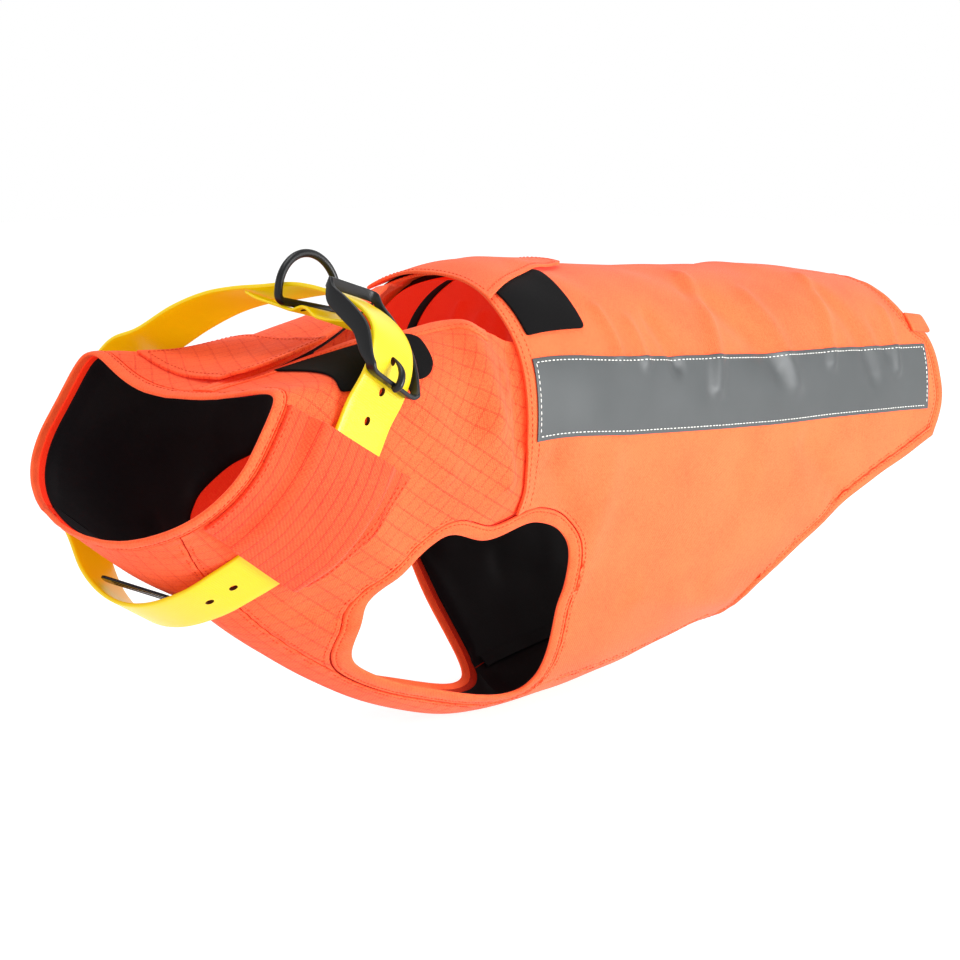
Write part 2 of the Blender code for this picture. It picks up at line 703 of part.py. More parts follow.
def hem_ring(name, inner, outer):
    """A hem that closes on itself."""
    inner, outer = (np.vstack([line, line[:1]]) for line in (inner, outer))
    cloth_piece(name, strip_points(inner, outer, HEM_PROUD), HEM_WALL, "hem", closed=True)


def neck_line(x, near, far):
    """The seam places of the neck's hem at station x, left, keel and right."""
    left = near[0][:, 1]
    keel = np.linspace(left[-1], 2 * keel_girth(x) - left[-1], CHEST_STEPS + 1)[1:-1]
    right = -far[0][:0:-1, 1]
    girths = np.concatenate([left, keel, right])
    return np.stack([np.full_like(girths, x), girths], axis=-1)


def make_hems(seams, near, far):
    """Hems of the neck, the leg holes and the rear edge."""
    hem_ring("neck_hem", neck_line(RIM_X, near, far), neck_line(RIM_X + HEM, near, far))
    flip = np.array([1.0, -1.0])
    hem_ring("leg_hem_left", seams.hole_edge, seams.hole_hem)
    hem_ring("leg_hem_right", seams.hole_edge[::-1] * flip, seams.hole_hem[::-1] * flip)
    edge = np.vstack([seams.rear_edge, beyond_keel(seams.rear_edge[1:-1])[::-1]])
    hem = np.vstack([seams.rear_hem, beyond_keel(seams.rear_hem[1:-1])[::-1]])
    hem_ring("rear_hem", hem, edge)


# --- pieces laid on the panels -----------------------------------------------
def over_belt(x, d):
    """Height of a collar flap: on the neck's side, and clear over the belt."""
    beside, height = BELT.outer_face(body_point(x, d))
    near = 1 - smooth((abs(beside) - BELT_WIDTH / 2 - FLAP_BESIDE) / FLAP_EASE)
    return LAYER + near * max(height + LAYER, 0.0)


def rolled(_x, d):
    """Height of the nape tab: sewn down, then over the loop patch, its edge rolled up."""
    over = (LAYER + PATCH_WALL) * smooth((d - TAB_OVER[0]) / TAB_OVER[1])
    return LAYER + over + TAB_ROLL[2] * smooth((d - TAB_ROLL[0]) / TAB_ROLL[1])


def laid_piece(name, places, out, wall, finish):
    """A piece that lies on the panels, its wall outwards."""
    cloth_piece(name, surface_points(places, out), wall, finish, side=OUTWARDS)


def make_overlays():
    """Tape, loop patches, flaps and the nape tab."""
    upper = spline(TAPE, 16)
    lower = upper + np.array([0.0, TAPE_WIDTH])
    tape = patch(upper, lower, line_between(upper[0], lower[0], 4), line_between(upper[-1], lower[-1], 4))
    back_patch = four_sided(BACK_PATCH, 5, 6)
    flap = four_sided(COLLAR_FLAP, 10, 8)
    for side, turn in (("left", np.array), ("right", mirrored)):
        laid_piece(f"tape_{side}", turn(tape), LAYER, TAPE_WALL, "tape")
        laid_piece(f"back_patch_{side}", turn(back_patch), LAYER, PATCH_WALL, "loop")
        laid_piece(f"collar_flap_{side}", turn(flap), over_belt, FLAP_WALL, "ripstop")
    laid_piece("neck_patch", four_sided(NECK_PATCH, 6, 10), LAYER, PATCH_WALL, "loop")
    laid_piece("nape_tab", four_sided(NAPE_TAB, 5, 10), rolled, FLAP_WALL, "ripstop")
    over_patch = 2 * LAYER + PATCH_WALL
    laid_piece("dorsal_flap", four_sided(DORSAL_FLAP, 8, 10), over_patch, FLAP_WALL, "orange")
    laid_piece("rear_tab", four_sided(REAR_TAB, 3, 2), HEM_PROUD + LAYER, FLAP_WALL, "orange")


# --- belt and hardware -------------------------------------------------------
def direction(tilt, turn):
    """The direction across the belt for a tilt and a turn in degrees."""
    tilt, turn = math.radians(tilt), math.radians(turn)
    return np.array([math.cos(tilt) * math.cos(turn), math.sin(turn), -math.sin(tilt) * math.cos(turn)])


class Belt:
    """The belt's line round the neck, with a frame at each of its stops."""

    def __init__(self):
        reach, tilt, turn = BELT_PLANE
        normal = direction(tilt, turn)
        level = np.cross((0.0, 0.0, 1.0), normal)
        level /= np.linalg.norm(level)
        rise = np.cross(normal, level)
        self.axes = (level, rise, normal)
        line = spline(BELT_PATH, BELT_STEPS, closed=True)[:-1]
        self.middles = (normal * reach + line[:, :1] * level + line[:, 1:2] * rise - np.array(CARRY))
        ahead = np.roll(self.middles, -1, axis=0)
        self.step = float(np.linalg.norm(ahead - self.middles, axis=1).mean())
        self.runs = ahead - np.roll(self.middles, 1, axis=0)
        self.runs /= np.linalg.norm(self.runs, axis=1)[:, None]
        widths = np.array([direction(*row[2:]) for row in line])
        widths -= self.runs * (widths * self.runs).sum(axis=1)[:, None]
        self.widths = widths / np.linalg.norm(widths, axis=1)[:, None]
        self.outs = np.cross(self.runs, self.widths)

    def place(self, across, up, beside):
        """A place by the belt's plane and beside it."""
        level, rise, normal = self.axes
        return level * across + rise * up + normal * (BELT_PLANE[0] + beside) - np.array(CARRY)

    def frame(self, along):
        """Middle, run, width and outward directions at a length from the top."""
        stop = along / self.step
        first = math.floor(stop)
        share = stop - first
        a, b = first % BELT_STEPS, (first + 1) % BELT_STEPS
        return [rows[a] * (1 - share) + rows[b] * share
                for rows in (self.middles, self.runs, self.widths, self.outs)]

    def point(self, along, across=0.0, out=0.0):
        """A point by the belt: across its width and outwards from its middle."""
        middle, _run, width, outward = self.frame(along)
        return middle + width * across + outward * out

    def outer_face(self, place):
        """How far a place lies beside the belt's middle, and below its outer face."""
        away = place - self.middles
        flat = away - self.widths * (away * self.widths).sum(axis=1)[:, None]
        nearest = int(np.argmin(np.linalg.norm(flat, axis=1)))
        beside = float(away[nearest] @ self.widths[nearest])
        return beside, BELT_WALL / 2 - float(away[nearest] @ self.outs[nearest])

    def band(self, stops, half_width, out=0.0):
        """Points of a band that runs with the belt; out is its height at each stop."""
        heights = np.broadcast_to(out, len(stops))
        return [[self.point(along, across, height) for across in (-half_width, 0.0, half_width)]
                for along, height in zip(stops, heights)]


BELT = Belt()


def make_belt():
    """The neck belt and its inner layer by the buckle."""
    stops = np.arange(BELT_STEPS + 1) * BELT.step
    cloth_piece("belt", BELT.band(stops, BELT_WIDTH / 2), BELT_WALL, "belt", CENTRED, closed=True)
    along, out = spline(FOLD, FOLD_STEPS).T
    fold = BELT.band(along, BELT_WIDTH / 2 - LAYER, out)
    cloth_piece("belt_fold", fold, FOLD_WALL, "belt", CENTRED)


def tube(name, points, radius, finish, closed=False, origin=(0.0, 0.0, 0.0)):
    """A round wire along points in space, its object's origin where it is given."""
    curve = bpy.data.curves.new(name, "CURVE")
    curve.dimensions = "3D"
    curve.bevel_depth = radius
    curve.bevel_resolution = 2
    curve.use_fill_caps = not closed
    line = curve.splines.new("POLY")
    line.points.add(len(points) - 1)
    for knot, point in zip(line.points, points):
        knot.co = (*(np.array(point) - np.array(origin)), 1.0)
    line.use_cyclic_u = closed
    item = add_object(name, curve, finish)
    item.location = origin
    return item


def arc(middle, radius, start, end, steps):
    """Points on part of a circle, angles in degrees."""
    angles = np.radians(np.linspace(start, end, steps + 1))
    return [(middle[0] + radius * math.cos(a), middle[1] + radius * math.sin(a)) for a in angles]


def make_d_ring():
    """The D-ring, standing up from its bar; its origin lies on the bar's axis."""
    corner = RING_CORNER
    outline = arc((0.0, RING_LEG), RING_HALF, 0.0, 180.0, 16)
    outline += arc((-RING_HALF + corner, corner), corner, 180.0, 270.0, 4)
    outline += arc((RING_HALF - corner, corner), corner, -90.0, 0.0, 4)
    middle, run, width, outward = BELT.frame(RING_AT)
    turn = math.radians(RING_TURN)
    width = width * math.cos(turn) + run * math.sin(turn)
    bar = middle + outward * RING_DEEP
    points = [bar + width * across + outward * out for across, out in outline]
    tube("d_ring", points, RING_WIRE, "metal", True, bar)


def make_buckle():
    """The buckle's frame, bent with the belt, and the prong that lies on its bar."""
    rails = spline(BUCKLE, 24)
    top, low = rails[0, 0], rails[-1, 0]
    angles = np.linspace(0.0, 2 * math.pi, 480, endpoint=False)
    power = 2 / BUCKLE_SQUARE
    along = np.sign(np.cos(angles)) * np.abs(np.cos(angles)) ** power * (low - top) / 2
    across = np.sign(np.sin(angles)) * np.abs(np.sin(angles)) ** power * BUCKLE_HALF
    outline = np.stack([(top + low) / 2 + along, across], axis=-1)
    outline = even_points(np.vstack([outline, outline[:1]]), BUCKLE_STEPS)
    frame = []
    for at, w in outline:
        share = smooth((BUCKLE_HALF - abs(w)) / BUCKLE_EASE)
        rail = [np.interp(at, rails[:, 0], rails[:, k]) for k in (1, 2)]
        frame.append([BELT.point(at, w, a + (b - a) * share) for a, b in zip(rail, BUCKLE_BARS)])
    cloth_piece("buckle", frame, BUCKLE_WALL, "metal", CENTRED, closed=True)
    prong = [BELT.point(at, 0.0, out) for at, out in spline(PRONG, 8)]
    tube("buckle_prong", prong, PRONG_RADIUS, "metal")


def rounded_box(left, right, low, high, radius):
    """Outline of a rectangle with round corners."""
    return (arc((right - radius, high - radius), radius, 0.0, 90.0, 4)
            + arc((left + radius, high - radius), radius, 90.0, 180.0, 4)
            + arc((left + radius, low + radius), radius, 180.0, 270.0, 4)
            + arc((right - radius, low + radius), radius, 270.0, 360.0, 4))


def make_slide():
    """The slotted plate that hangs in the belt's loop under the throat."""
    length, width, thickness = SLIDE
    start, end = (BELT.place(*row[1:]) for row in SLIDE_ENDS)
    along = (end - start) / np.linalg.norm(end - start)
    normal = np.cross(along, BELT.axes[2])
    normal /= np.linalg.norm(normal)
    lean = np.cross(normal, along)
    curve = bpy.data.curves.new("throat_slide", "CURVE")
    curve.dimensions = "2D"
    curve.fill_mode = "BOTH"
    curve.extrude = thickness / 2
    outlines = [rounded_box(0.0, length, 0.0, width, SLIDE_CORNER)]
    edge = (length - SLIDE_SLOT_LENGTH) / 2
    for high, slot in SLIDE_SLOTS:
        outlines.append(rounded_box(edge, length - edge, high, high + slot, slot * 0.45))
    for outline in outlines:
        line = curve.splines.new("POLY")
        line.points.add(len(outline) - 1)
        for knot, (x, y) in zip(line.points, outline):
            knot.co = (x, y, 0.0, 1.0)
        line.use_cyclic_u = True
    item = add_object("throat_slide", curve, "metal")
    turned = Matrix((along, lean, normal)).transposed().to_4x4()
    item.matrix_world = Matrix.Translation(start) @ turned


def main():
    """Build every piece of the vest."""
    seams = Seams()
    saddle, near, far, chest, belly = make_panels(seams)
    make_linings(saddle, near, far, chest, belly)
    make_hems(seams, near, far)
    make_overlays()
    make_belt()
    make_d_ring()
    make_buckle()
    make_slide()


main()
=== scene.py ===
"""High-visibility dog vest: the cloth, tapes, belt and metal as they look.

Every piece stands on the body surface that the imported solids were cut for.  A place
on the vest is a station x along the body and a girth d round it, measured from the
spine and positive on the wearer's left.  Metres, +Z up, the wearer's head towards -X.
"""
import json
import logging
import math
from dataclasses import dataclass, field
from enum import Enum

import bmesh
import bpy
import numpy as np
from mathutils import Matrix, Vector

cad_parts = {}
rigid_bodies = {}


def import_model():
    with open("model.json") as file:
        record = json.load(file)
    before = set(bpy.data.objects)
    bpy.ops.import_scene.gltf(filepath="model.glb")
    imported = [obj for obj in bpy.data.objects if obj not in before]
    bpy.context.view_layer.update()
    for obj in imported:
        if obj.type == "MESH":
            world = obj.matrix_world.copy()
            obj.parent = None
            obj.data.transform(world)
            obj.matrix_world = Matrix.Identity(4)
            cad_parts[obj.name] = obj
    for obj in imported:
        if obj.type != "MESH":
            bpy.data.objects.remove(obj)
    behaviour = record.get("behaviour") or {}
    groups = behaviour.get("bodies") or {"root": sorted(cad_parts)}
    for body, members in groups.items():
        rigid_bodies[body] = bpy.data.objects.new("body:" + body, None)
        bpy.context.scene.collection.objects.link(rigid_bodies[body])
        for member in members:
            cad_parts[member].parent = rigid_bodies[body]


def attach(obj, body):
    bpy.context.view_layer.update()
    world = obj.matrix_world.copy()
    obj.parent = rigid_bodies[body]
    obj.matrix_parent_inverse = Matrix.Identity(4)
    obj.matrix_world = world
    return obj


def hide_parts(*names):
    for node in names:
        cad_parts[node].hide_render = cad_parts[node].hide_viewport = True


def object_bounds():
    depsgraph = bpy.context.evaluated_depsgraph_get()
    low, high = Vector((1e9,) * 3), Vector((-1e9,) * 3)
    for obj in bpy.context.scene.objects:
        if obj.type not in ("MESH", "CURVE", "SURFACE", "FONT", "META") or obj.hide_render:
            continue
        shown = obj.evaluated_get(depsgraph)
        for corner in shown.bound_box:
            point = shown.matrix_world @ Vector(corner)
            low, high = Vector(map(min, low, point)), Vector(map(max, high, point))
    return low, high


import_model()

SOLID_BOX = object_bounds()
LOG = logging.getLogger("dog_vest")
Rows = tuple[tuple, ...]
Array = np.ndarray
Tree, Socket = bpy.types.NodeTree, bpy.types.NodeSocket
Value = Socket | float
VEST, RING = "vest", "ring"             # the two bodies that pieces ride on
MM = 0.001


# --- colours and nodes ---
def linear(hex_colour: str) -> tuple[float, float, float, float]:
    """An sRGB hex colour as the linear values that a shader takes.

    Args:
        hex_colour: The colour, such as "#FF7038".

    Returns:
        Red, green, blue and an alpha of one.
    """
    values = [int(hex_colour[i:i + 2], 16) / 255 for i in (1, 3, 5)]
    made = [v / 12.92 if v <= 0.04045 else ((v + 0.055) / 1.055) ** 2.4 for v in values]
    return (*made, 1.0)


def add_node(tree: Tree, kind: str, inputs: dict | None = None,
             **settings: object) -> bpy.types.Node:
    """Add one node with its settings, values and links.

    Args:
        tree: The material's node tree.
        kind: The node's type.
        inputs: Socket name or number to a value or to the output that feeds it.
        settings: Attributes of the node.

    Returns:
        The new node.
    """
    node = tree.nodes.new(kind)
    for name, value in settings.items():
        setattr(node, name, value)
    feed(tree, node, inputs or {})
    return node


def feed(tree: Tree, node: bpy.types.Node, inputs: dict) -> None:
    """Give a node's sockets their values, or the outputs that feed them.

    Args:
        tree: The material's node tree.
        node: The node.
        inputs: Socket name or number to a value or an output.
    """
    for socket, value in inputs.items():
        if isinstance(value, Socket):
            tree.links.new(value, node.inputs[socket])
        else:
            node.inputs[socket].default_value = value


@dataclass(frozen=True)
class Finish:
    """What every finish of the vest has: its name, the record's slot and its surface."""

    name: str
    slot: str
    colour: str
    deep: str                       # the same cloth where it lies in its own shade
    roughness: float = 0.8
    metallic: float = 0.0
    sheen: float = 0.0
    coat: float = 0.0
    specular: float = 0.3
    painted_glow: float = 0.0               # painted glow: a constant emission of the deep colour, the same under any lamp, standing in for the fluorescent dye
    mottle_mm: float = 45.0         # size of the soft changes of tone
    mottle: float = 0.35            # and how far they go towards the deep colour

    def material(self) -> bpy.types.Material:
        """The finish as a node material, made once.

        Returns:
            The material.
        """
        made = bpy.data.materials.get(self.name)
        if made is not None:
            return made
        made = bpy.data.materials.new(self.name)
        made.use_nodes = True
        tree = made.node_tree
        shader = tree.nodes["Principled BSDF"]
        feed(tree, shader, {
            "Roughness": self.roughness, "Metallic": self.metallic, "Sheen Weight": self.sheen,
            "Coat Weight": self.coat, "Coat Roughness": 0.25, "Specular IOR Level": self.specular})
        # Painted glow: the deep colour given off as light, the same under any lamp.
        if self.painted_glow:
            feed(tree, shader, {"Emission Color": linear(self.deep), "Emission Strength": self.painted_glow})
        place = add_node(tree, "ShaderNodeTexCoord").outputs["Object"]
        tone = add_node(tree, "ShaderNodeTexNoise", {
            "Vector": place, "Scale": 1 / (self.mottle_mm * MM), "Detail": 3.0, "Roughness": 0.55})
        share = add_node(tree, "ShaderNodeMapRange", {
            "Value": tone.outputs["Fac"], "From Min": 0.35, "From Max": 0.72,
            "To Min": 0.0, "To Max": self.mottle})
        colour, height = self.pattern(tree, place, share.outputs["Result"])
        feed(tree, shader, {"Base Color": colour})
        if height is not None:
            bump = add_node(tree, "ShaderNodeBump", {"Height": height, "Distance": 1.0, "Strength": 1.0})
            feed(tree, shader, {"Normal": bump.outputs["Normal"]})
        return made

    def pattern(self, tree: Tree, place: Socket, share: Socket) -> tuple[Socket, Socket | None]:
        """Colour and relief of the finish.

        Args:
            tree: The material's node tree.
            place: Output with the object's coordinates, in metres.
            share: Output with the soft changes of tone, from 0 to 1.

        Returns:
            The output with the colour, and the one with the height in metres or None.
        """
        return self.shaded(tree, share), None

    def shaded(self, tree: Tree, dark: Socket) -> Socket:
        """The colour taken towards the deep one by a share, held between 0 and 1.

        Args:
            tree: The material's node tree.
            dark: The share.

        Returns:
            The output with the colour.
        """
        dark = self.maths(tree, "MINIMUM", self.maths(tree, "MAXIMUM", dark, 0.0), 1.0)
        mix = add_node(tree, "ShaderNodeMix", {
            "Factor": dark, "A": linear(self.colour), "B": linear(self.deep)}, data_type="RGBA")
        return mix.outputs["Result"]

    @staticmethod
    def maths(tree: Tree, operation: str, first: Value, second: Value = 0.0,
              third: Value = 0.0) -> Socket:
        """The output of one Math node."""
        node = add_node(tree, "ShaderNodeMath", {0: first, 1: second, 2: third}, operation=operation)
        return node.outputs[0]

    @staticmethod
    def falling(tree: Tree, value: Socket, start: float, end: float) -> Socket:
        """The output of a soft step from 1 at the start to 0 at the end."""
        return add_node(tree, "ShaderNodeMapRange", {
            "Value": value, "From Min": start, "From Max": end, "To Min": 1.0, "To Max": 0.0},
            interpolation_type="SMOOTHSTEP").outputs["Result"]


@dataclass(frozen=True)
class WovenFinish(Finish):
    """Plain-woven cloth, with stronger threads at a spacing where it is ripstop."""

    thread_mm: float = 0.9          # real threads are 0.4 mm, drawn coarser to show
    thread_height: float = 0.05
    ribs_mm: float = 0.0            # spacing of the strong threads along the rim
    cross_mm: float = 0.0           # and of those along the body
    rib_width_mm: float = 0.5
    rib_height: float = 0.12
    rib_shade: float = 0.5
    bias: float = 0.0               # degrees that the grain lies askew of the body
    speck: tuple[float, float] = (1.5, -0.68)   # strength and middle of the fine specks
    speck_scale: float = 900.0
    weave_shade: float = -0.22      # painted shade: the valleys between threads are painted darker

    def pattern(self, tree: Tree, place: Socket, share: Socket) -> tuple[Socket, Socket | None]:
        """Weave and strong threads on the piece's own cut, in metres.

        Args:
            tree: The material's node tree.
            place: The object's coordinates.
            share: The soft changes of tone.

        Returns:
            The outputs with the colour and the height.
        """
        cut = add_node(tree, "ShaderNodeUVMap", uv_map="cut").outputs["UV"]
        turned = add_node(tree, "ShaderNodeVectorRotate", {
            "Vector": cut, "Angle": math.radians(self.bias)}, rotation_type="Z_AXIS").outputs["Vector"]
        ways = add_node(tree, "ShaderNodeSeparateXYZ", {"Vector": turned})
        along, around = ways.outputs["X"], ways.outputs["Y"]
        turn = math.pi / (self.thread_mm * MM)
        waves = [self.maths(tree, "SINE", self.maths(tree, "MULTIPLY", way, turn))
                 for way in (along, around)]
        weave = self.maths(tree, "MULTIPLY", waves[0], waves[1])
        height = self.maths(tree, "MULTIPLY", weave, self.thread_height * MM)
        fine = add_node(tree, "ShaderNodeTexNoise", {
            "Vector": place, "Scale": self.speck_scale, "Detail": 2.0})
        speck = self.maths(tree, "MULTIPLY_ADD", fine.outputs["Fac"], *self.speck)
        speck = self.maths(tree, "MULTIPLY_ADD", weave, self.weave_shade, speck)
        dark = self.maths(tree, "ADD", share, speck)
        for way, spacing in ((along, self.ribs_mm), (around, self.cross_mm)):
            if not spacing:
                continue
            away = self.maths(tree, "PINGPONG", way, spacing * MM / 2)
            line = self.falling(tree, away, 0.0, self.rib_width_mm * MM)
            beside = self.falling(tree, away, self.rib_width_mm * MM, 1.9 * self.rib_width_mm * MM)
            height = self.maths(tree, "MULTIPLY_ADD", line, self.rib_height * MM, height)
            edge = self.maths(tree, "SUBTRACT", beside, line)
            dark = self.maths(tree, "MULTIPLY_ADD", edge, self.rib_shade, dark)
        return self.shaded(tree, dark), height


@dataclass(frozen=True)
class GrainFinish(Finish):
    """A finish with a fine grain of its own, such as napped loop tape or a coating."""

    grain_mm: float = 0.6
    grain_height: float = 0.05
    grain_shade: float = 0.3

    def pattern(self, tree: Tree, place: Socket, share: Socket) -> tuple[Socket, Socket | None]:
        """Grain in the relief and, more faintly, in the colour.

        Args:
            tree: The material's node tree.
            place: The object's coordinates.
            share: The soft changes of tone.

        Returns:
            The outputs with the colour and the height.
        """
        grain = add_node(tree, "ShaderNodeTexNoise", {
            "Vector": place, "Scale": 1 / (self.grain_mm * MM), "Detail": 3.0, "Roughness": 0.6})
        shade = self.maths(tree, "MULTIPLY_ADD", grain.outputs["Fac"], self.grain_shade,
                           -self.grain_shade / 2)
        dark = self.maths(tree, "ADD", share, shade)
        height = self.maths(tree, "MULTIPLY", grain.outputs["Fac"], self.grain_height * MM)
        return self.shaded(tree, dark), height


@dataclass(frozen=True)
class BandFinish(Finish):
    """Coated webbing: smooth, with the ribs of the web showing through across it."""

    rib_mm: float = 1.3
    rib_height: float = 0.035
    rib_shade: float = 0.25

    def pattern(self, tree: Tree, place: Socket, share: Socket) -> tuple[Socket, Socket | None]:
        """Ribs across the band on its own cut, in metres.

        Args:
            tree: The material's node tree.
            place: The object's coordinates.
            share: The soft changes of tone.

        Returns:
            The outputs with the colour and the height.
        """
        cut = add_node(tree, "ShaderNodeUVMap", uv_map="cut").outputs["UV"]
        along = add_node(tree, "ShaderNodeSeparateXYZ", {"Vector": cut}).outputs["X"]
        wave = self.maths(tree, "SINE", self.maths(tree, "MULTIPLY", along,
                                                   2 * math.pi / (self.rib_mm * MM)))
        height = self.maths(tree, "MULTIPLY", wave, self.rib_height * MM)
        dark = self.maths(tree, "MULTIPLY_ADD", wave, self.rib_shade / 2, share)
        return self.shaded(tree, dark), height


# The orange cloths and the webbing carry a painted glow: a constant emission of their deep colour, the same
# under any lamp.
# Matt polyester dyed fluorescent orange, apricot where it is lit; its painted glow lifts every part, shaded
# ones too.
SADDLE_CLOTH = WovenFinish("orange_polyester", "orange_cloth", "#F06434", "#D8360C",
                           sheen=0.08, painted_glow=0.22, thread_mm=0.9, thread_height=0.07, mottle=0.30)
# Ripstop nylon: the strong threads make a grid that catches the light.
RIPSTOP = WovenFinish("orange_ripstop", "ripstop_cloth", "#F05E2C", "#D02804", sheen=0.08, painted_glow=0.22,
                      thread_mm=0.9, thread_height=0.08, bias=-30.0, ribs_mm=9.4, cross_mm=9.4,
                      rib_width_mm=0.30, rib_shade=0.60, mottle=0.30)
# The collar's flaps: ripstop whose strong threads run one way.
RIBBED = WovenFinish("orange_ribbed_ripstop", "ripstop_cloth", "#EC4C20", "#C81800", sheen=0.08,
                     painted_glow=0.24, thread_mm=1.1, thread_height=0.10, ribs_mm=9.0, rib_width_mm=0.45,
                     rib_height=0.18, rib_shade=0.75, mottle=0.25)
# The saddle's cloth turned and sewn down, a little puckered by its stitches.
HEM_CLOTH = WovenFinish("orange_hem", "hem_cloth", "#F4602E", "#D62E08", sheen=0.08, painted_glow=0.22,
                        thread_mm=1.0, thread_height=0.05, mottle=0.3, mottle_mm=18.0)
# The cloth's uncoated wrong side inside the vest, painted as it looks in shade: a deeper red, with a strong
# painted glow.
SHADED_WRONG_SIDE = WovenFinish("orange_wrong_side", "hem_cloth", "#F03A14", "#E01A04", painted_glow=0.45,
                         thread_mm=1.0, thread_height=0.04, mottle=0.3)
# The same cloth deep in a seam, where two panels meet, painted a darker red as painted shade in the seam's
# gap.
SEAM_SHADE_CLOTH = WovenFinish("orange_seam_allowance", "hem_cloth", "#C22A0C", "#8E1604", painted_glow=0.10,
                         thread_mm=1.0, thread_height=0.04, mottle=0.3)
# Smooth black polyester lining with a faint satin light.
LINING_CLOTH = WovenFinish("black_lining", "lining_cloth", "#121013", "#080708", roughness=0.6,
                           sheen=0.02, specular=0.12, thread_mm=0.8, thread_height=0.015, mottle=0.6)
# Glass-bead reflective tape: silver grey, nearly even from every side.
REFLECTIVE = GrainFinish("glass_bead_tape", "reflective_tape", "#484B4C", "#3C3F40", roughness=0.42,
                         metallic=0.1, grain_mm=0.5, grain_height=0.012, grain_shade=0.15,
                         mottle=0.5, mottle_mm=60.0)
# Napped loop tape: dull black with a fuzz.
LOOP = GrainFinish("napped_loop_tape", "loop_patch", "#0A090A", "#030303", roughness=0.95,
                   sheen=0.02, specular=0.08, grain_mm=0.9, grain_height=0.16, grain_shade=0.9)
# Webbing coated in soft plastic: glossy yellow, the web's ribs faint beneath; a strong painted glow lifts
# its shaded inner face.
WEBBING = BandFinish("coated_yellow_webbing", "belt_coating", "#CEAD00", "#BCA800", roughness=0.36,
                     coat=0.25, painted_glow=0.50, mottle=0.35)
# Steel under a dark satin coat.
COATED_STEEL = GrainFinish("dark_coated_steel", "hardware", "#131416", "#0A0B0C", roughness=0.34,
                           metallic=0.0, coat=0.0, specular=0.28, grain_mm=1.2, grain_height=0.004,
                           mottle=0.4)
# The plate under the throat is polished under its coat.
POLISHED_STEEL = GrainFinish("dark_polished_steel", "hardware", "#212226", "#101113", roughness=0.16,
                             metallic=0.8, grain_mm=2.0, grain_height=0.002, mottle=0.3)
# Where the coated webbing is punched, the cut faces are painted dark brown: the bare web's edge, darkened
# further as painted shade inside the holes.
PUNCHED_EDGE_SHADE = GrainFinish("punched_web_edge", "belt_coating", "#5A2A08", "#2A1204", roughness=0.9)
# Spun polyester sewing thread: matt, and a shade darker or lighter than what it sews.
WHITE_THREAD = GrainFinish("white_thread", "reflective_tape", "#F2F2EA", "#C8CCC8", roughness=0.7)
ORANGE_THREAD = GrainFinish("orange_thread", "hem_cloth", "#D83A10", "#B82806", roughness=0.7)


# --- the body surface ---
def lengths_along(points: Array) -> Array:
    """Length from the first point of a polyline to each of its points."""
    return np.concatenate([[0.0], np.cumsum(np.linalg.norm(np.diff(points, axis=0), axis=1))])


def resampled(rows: Array, run: Array, stops: Array) -> Array:
    """Rows read off at stops between them, where each stands at its own run."""
    return np.stack([np.interp(stops, run, column) for column in rows.T], axis=-1)


RINGS: Rows = (
    # name        x       tilt   spine   keel    widest  half    above below hollow
    ("rim",      -0.233,  0.69,  0.066, -0.030,  0.025,  0.0880, 6.0, 2.00, 0.014),
    ("nape",     -0.195,  0.66,  0.069, -0.051,  0.022,  0.0880, 4.6, 1.90, 0.010),
    ("throat",   -0.150,  0.58,  0.075, -0.072,  0.018,  0.0870, 3.4, 1.80, 0.004),
    ("chest",    -0.100,  0.42,  0.084, -0.108,  0.014,  0.0870, 2.7, 1.65, 0.000),
    ("shoulder", -0.040,  0.22,  0.098, -0.150,  0.010,  0.0870, 2.4, 1.55, 0.000),
    ("withers",   0.020,  0.05,  0.107, -0.180,  0.006,  0.0870, 2.3, 1.50, 0.000),
    ("ribs",      0.100,  0.00,  0.106, -0.183,  0.004,  0.0870, 2.2, 1.85, 0.000),
    ("waist",     0.250,  0.00,  0.098, -0.165,  0.000,  0.0870, 2.2, 2.20, 0.000),
    ("loin",      0.380,  0.00,  0.091, -0.156, -0.004,  0.0880, 2.3, 2.20, 0.000),
    ("rear",      0.480,  0.00,  0.076, -0.150, -0.008,  0.0890, 2.4, 2.20, 0.000),
)
CARRY = np.array([0.090, 0.0, 0.1010])  # from the rings' origin to the vest's
FOLDS: Rows = (
    # name            x0      d0      x1      d1      reach   height
    ("shoulder_top", -0.057,  0.070, -0.046,  0.128,  0.013,  0.0050),
    ("shoulder_low", -0.046,  0.128, -0.012,  0.178,  0.013,  0.0045),
    ("shoulder_dip", -0.026,  0.090, -0.018,  0.150,  0.010, -0.0030),
    ("back_front",    0.060,  0.022,  0.105,  0.088,  0.014,  0.0014),
    ("back_mid",      0.175,  0.018,  0.235,  0.092,  0.018, -0.0016),
    ("back_rear",     0.320,  0.020,  0.385,  0.094,  0.018,  0.0016),
    ("flank_front",   0.100,  0.215,  0.190,  0.262,  0.020, -0.0020),
    ("flank_rear",    0.245,  0.190,  0.330,  0.222,  0.020,  0.0020),
    ("throat_fold",  -0.170,  0.225, -0.110,  0.246,  0.010, -0.0020),
)
LEANS: Rows = (
    # name            x       d       reach  across  up
    ("far_corner",   -0.245, -0.090,  0.045, -0.007,  0.010),
    ("far_side",     -0.245, -0.165,  0.040,  0.004,  0.000),
)
CREASE_RISE = 2.0       # the creases' heights below are half of what they are sewn with
CREASE_OFF = (0.97, -0.004)             # where the right side's lie: a share of x, and a step
RIPPLE = 0.00045        # height of the cloth's overall unevenness
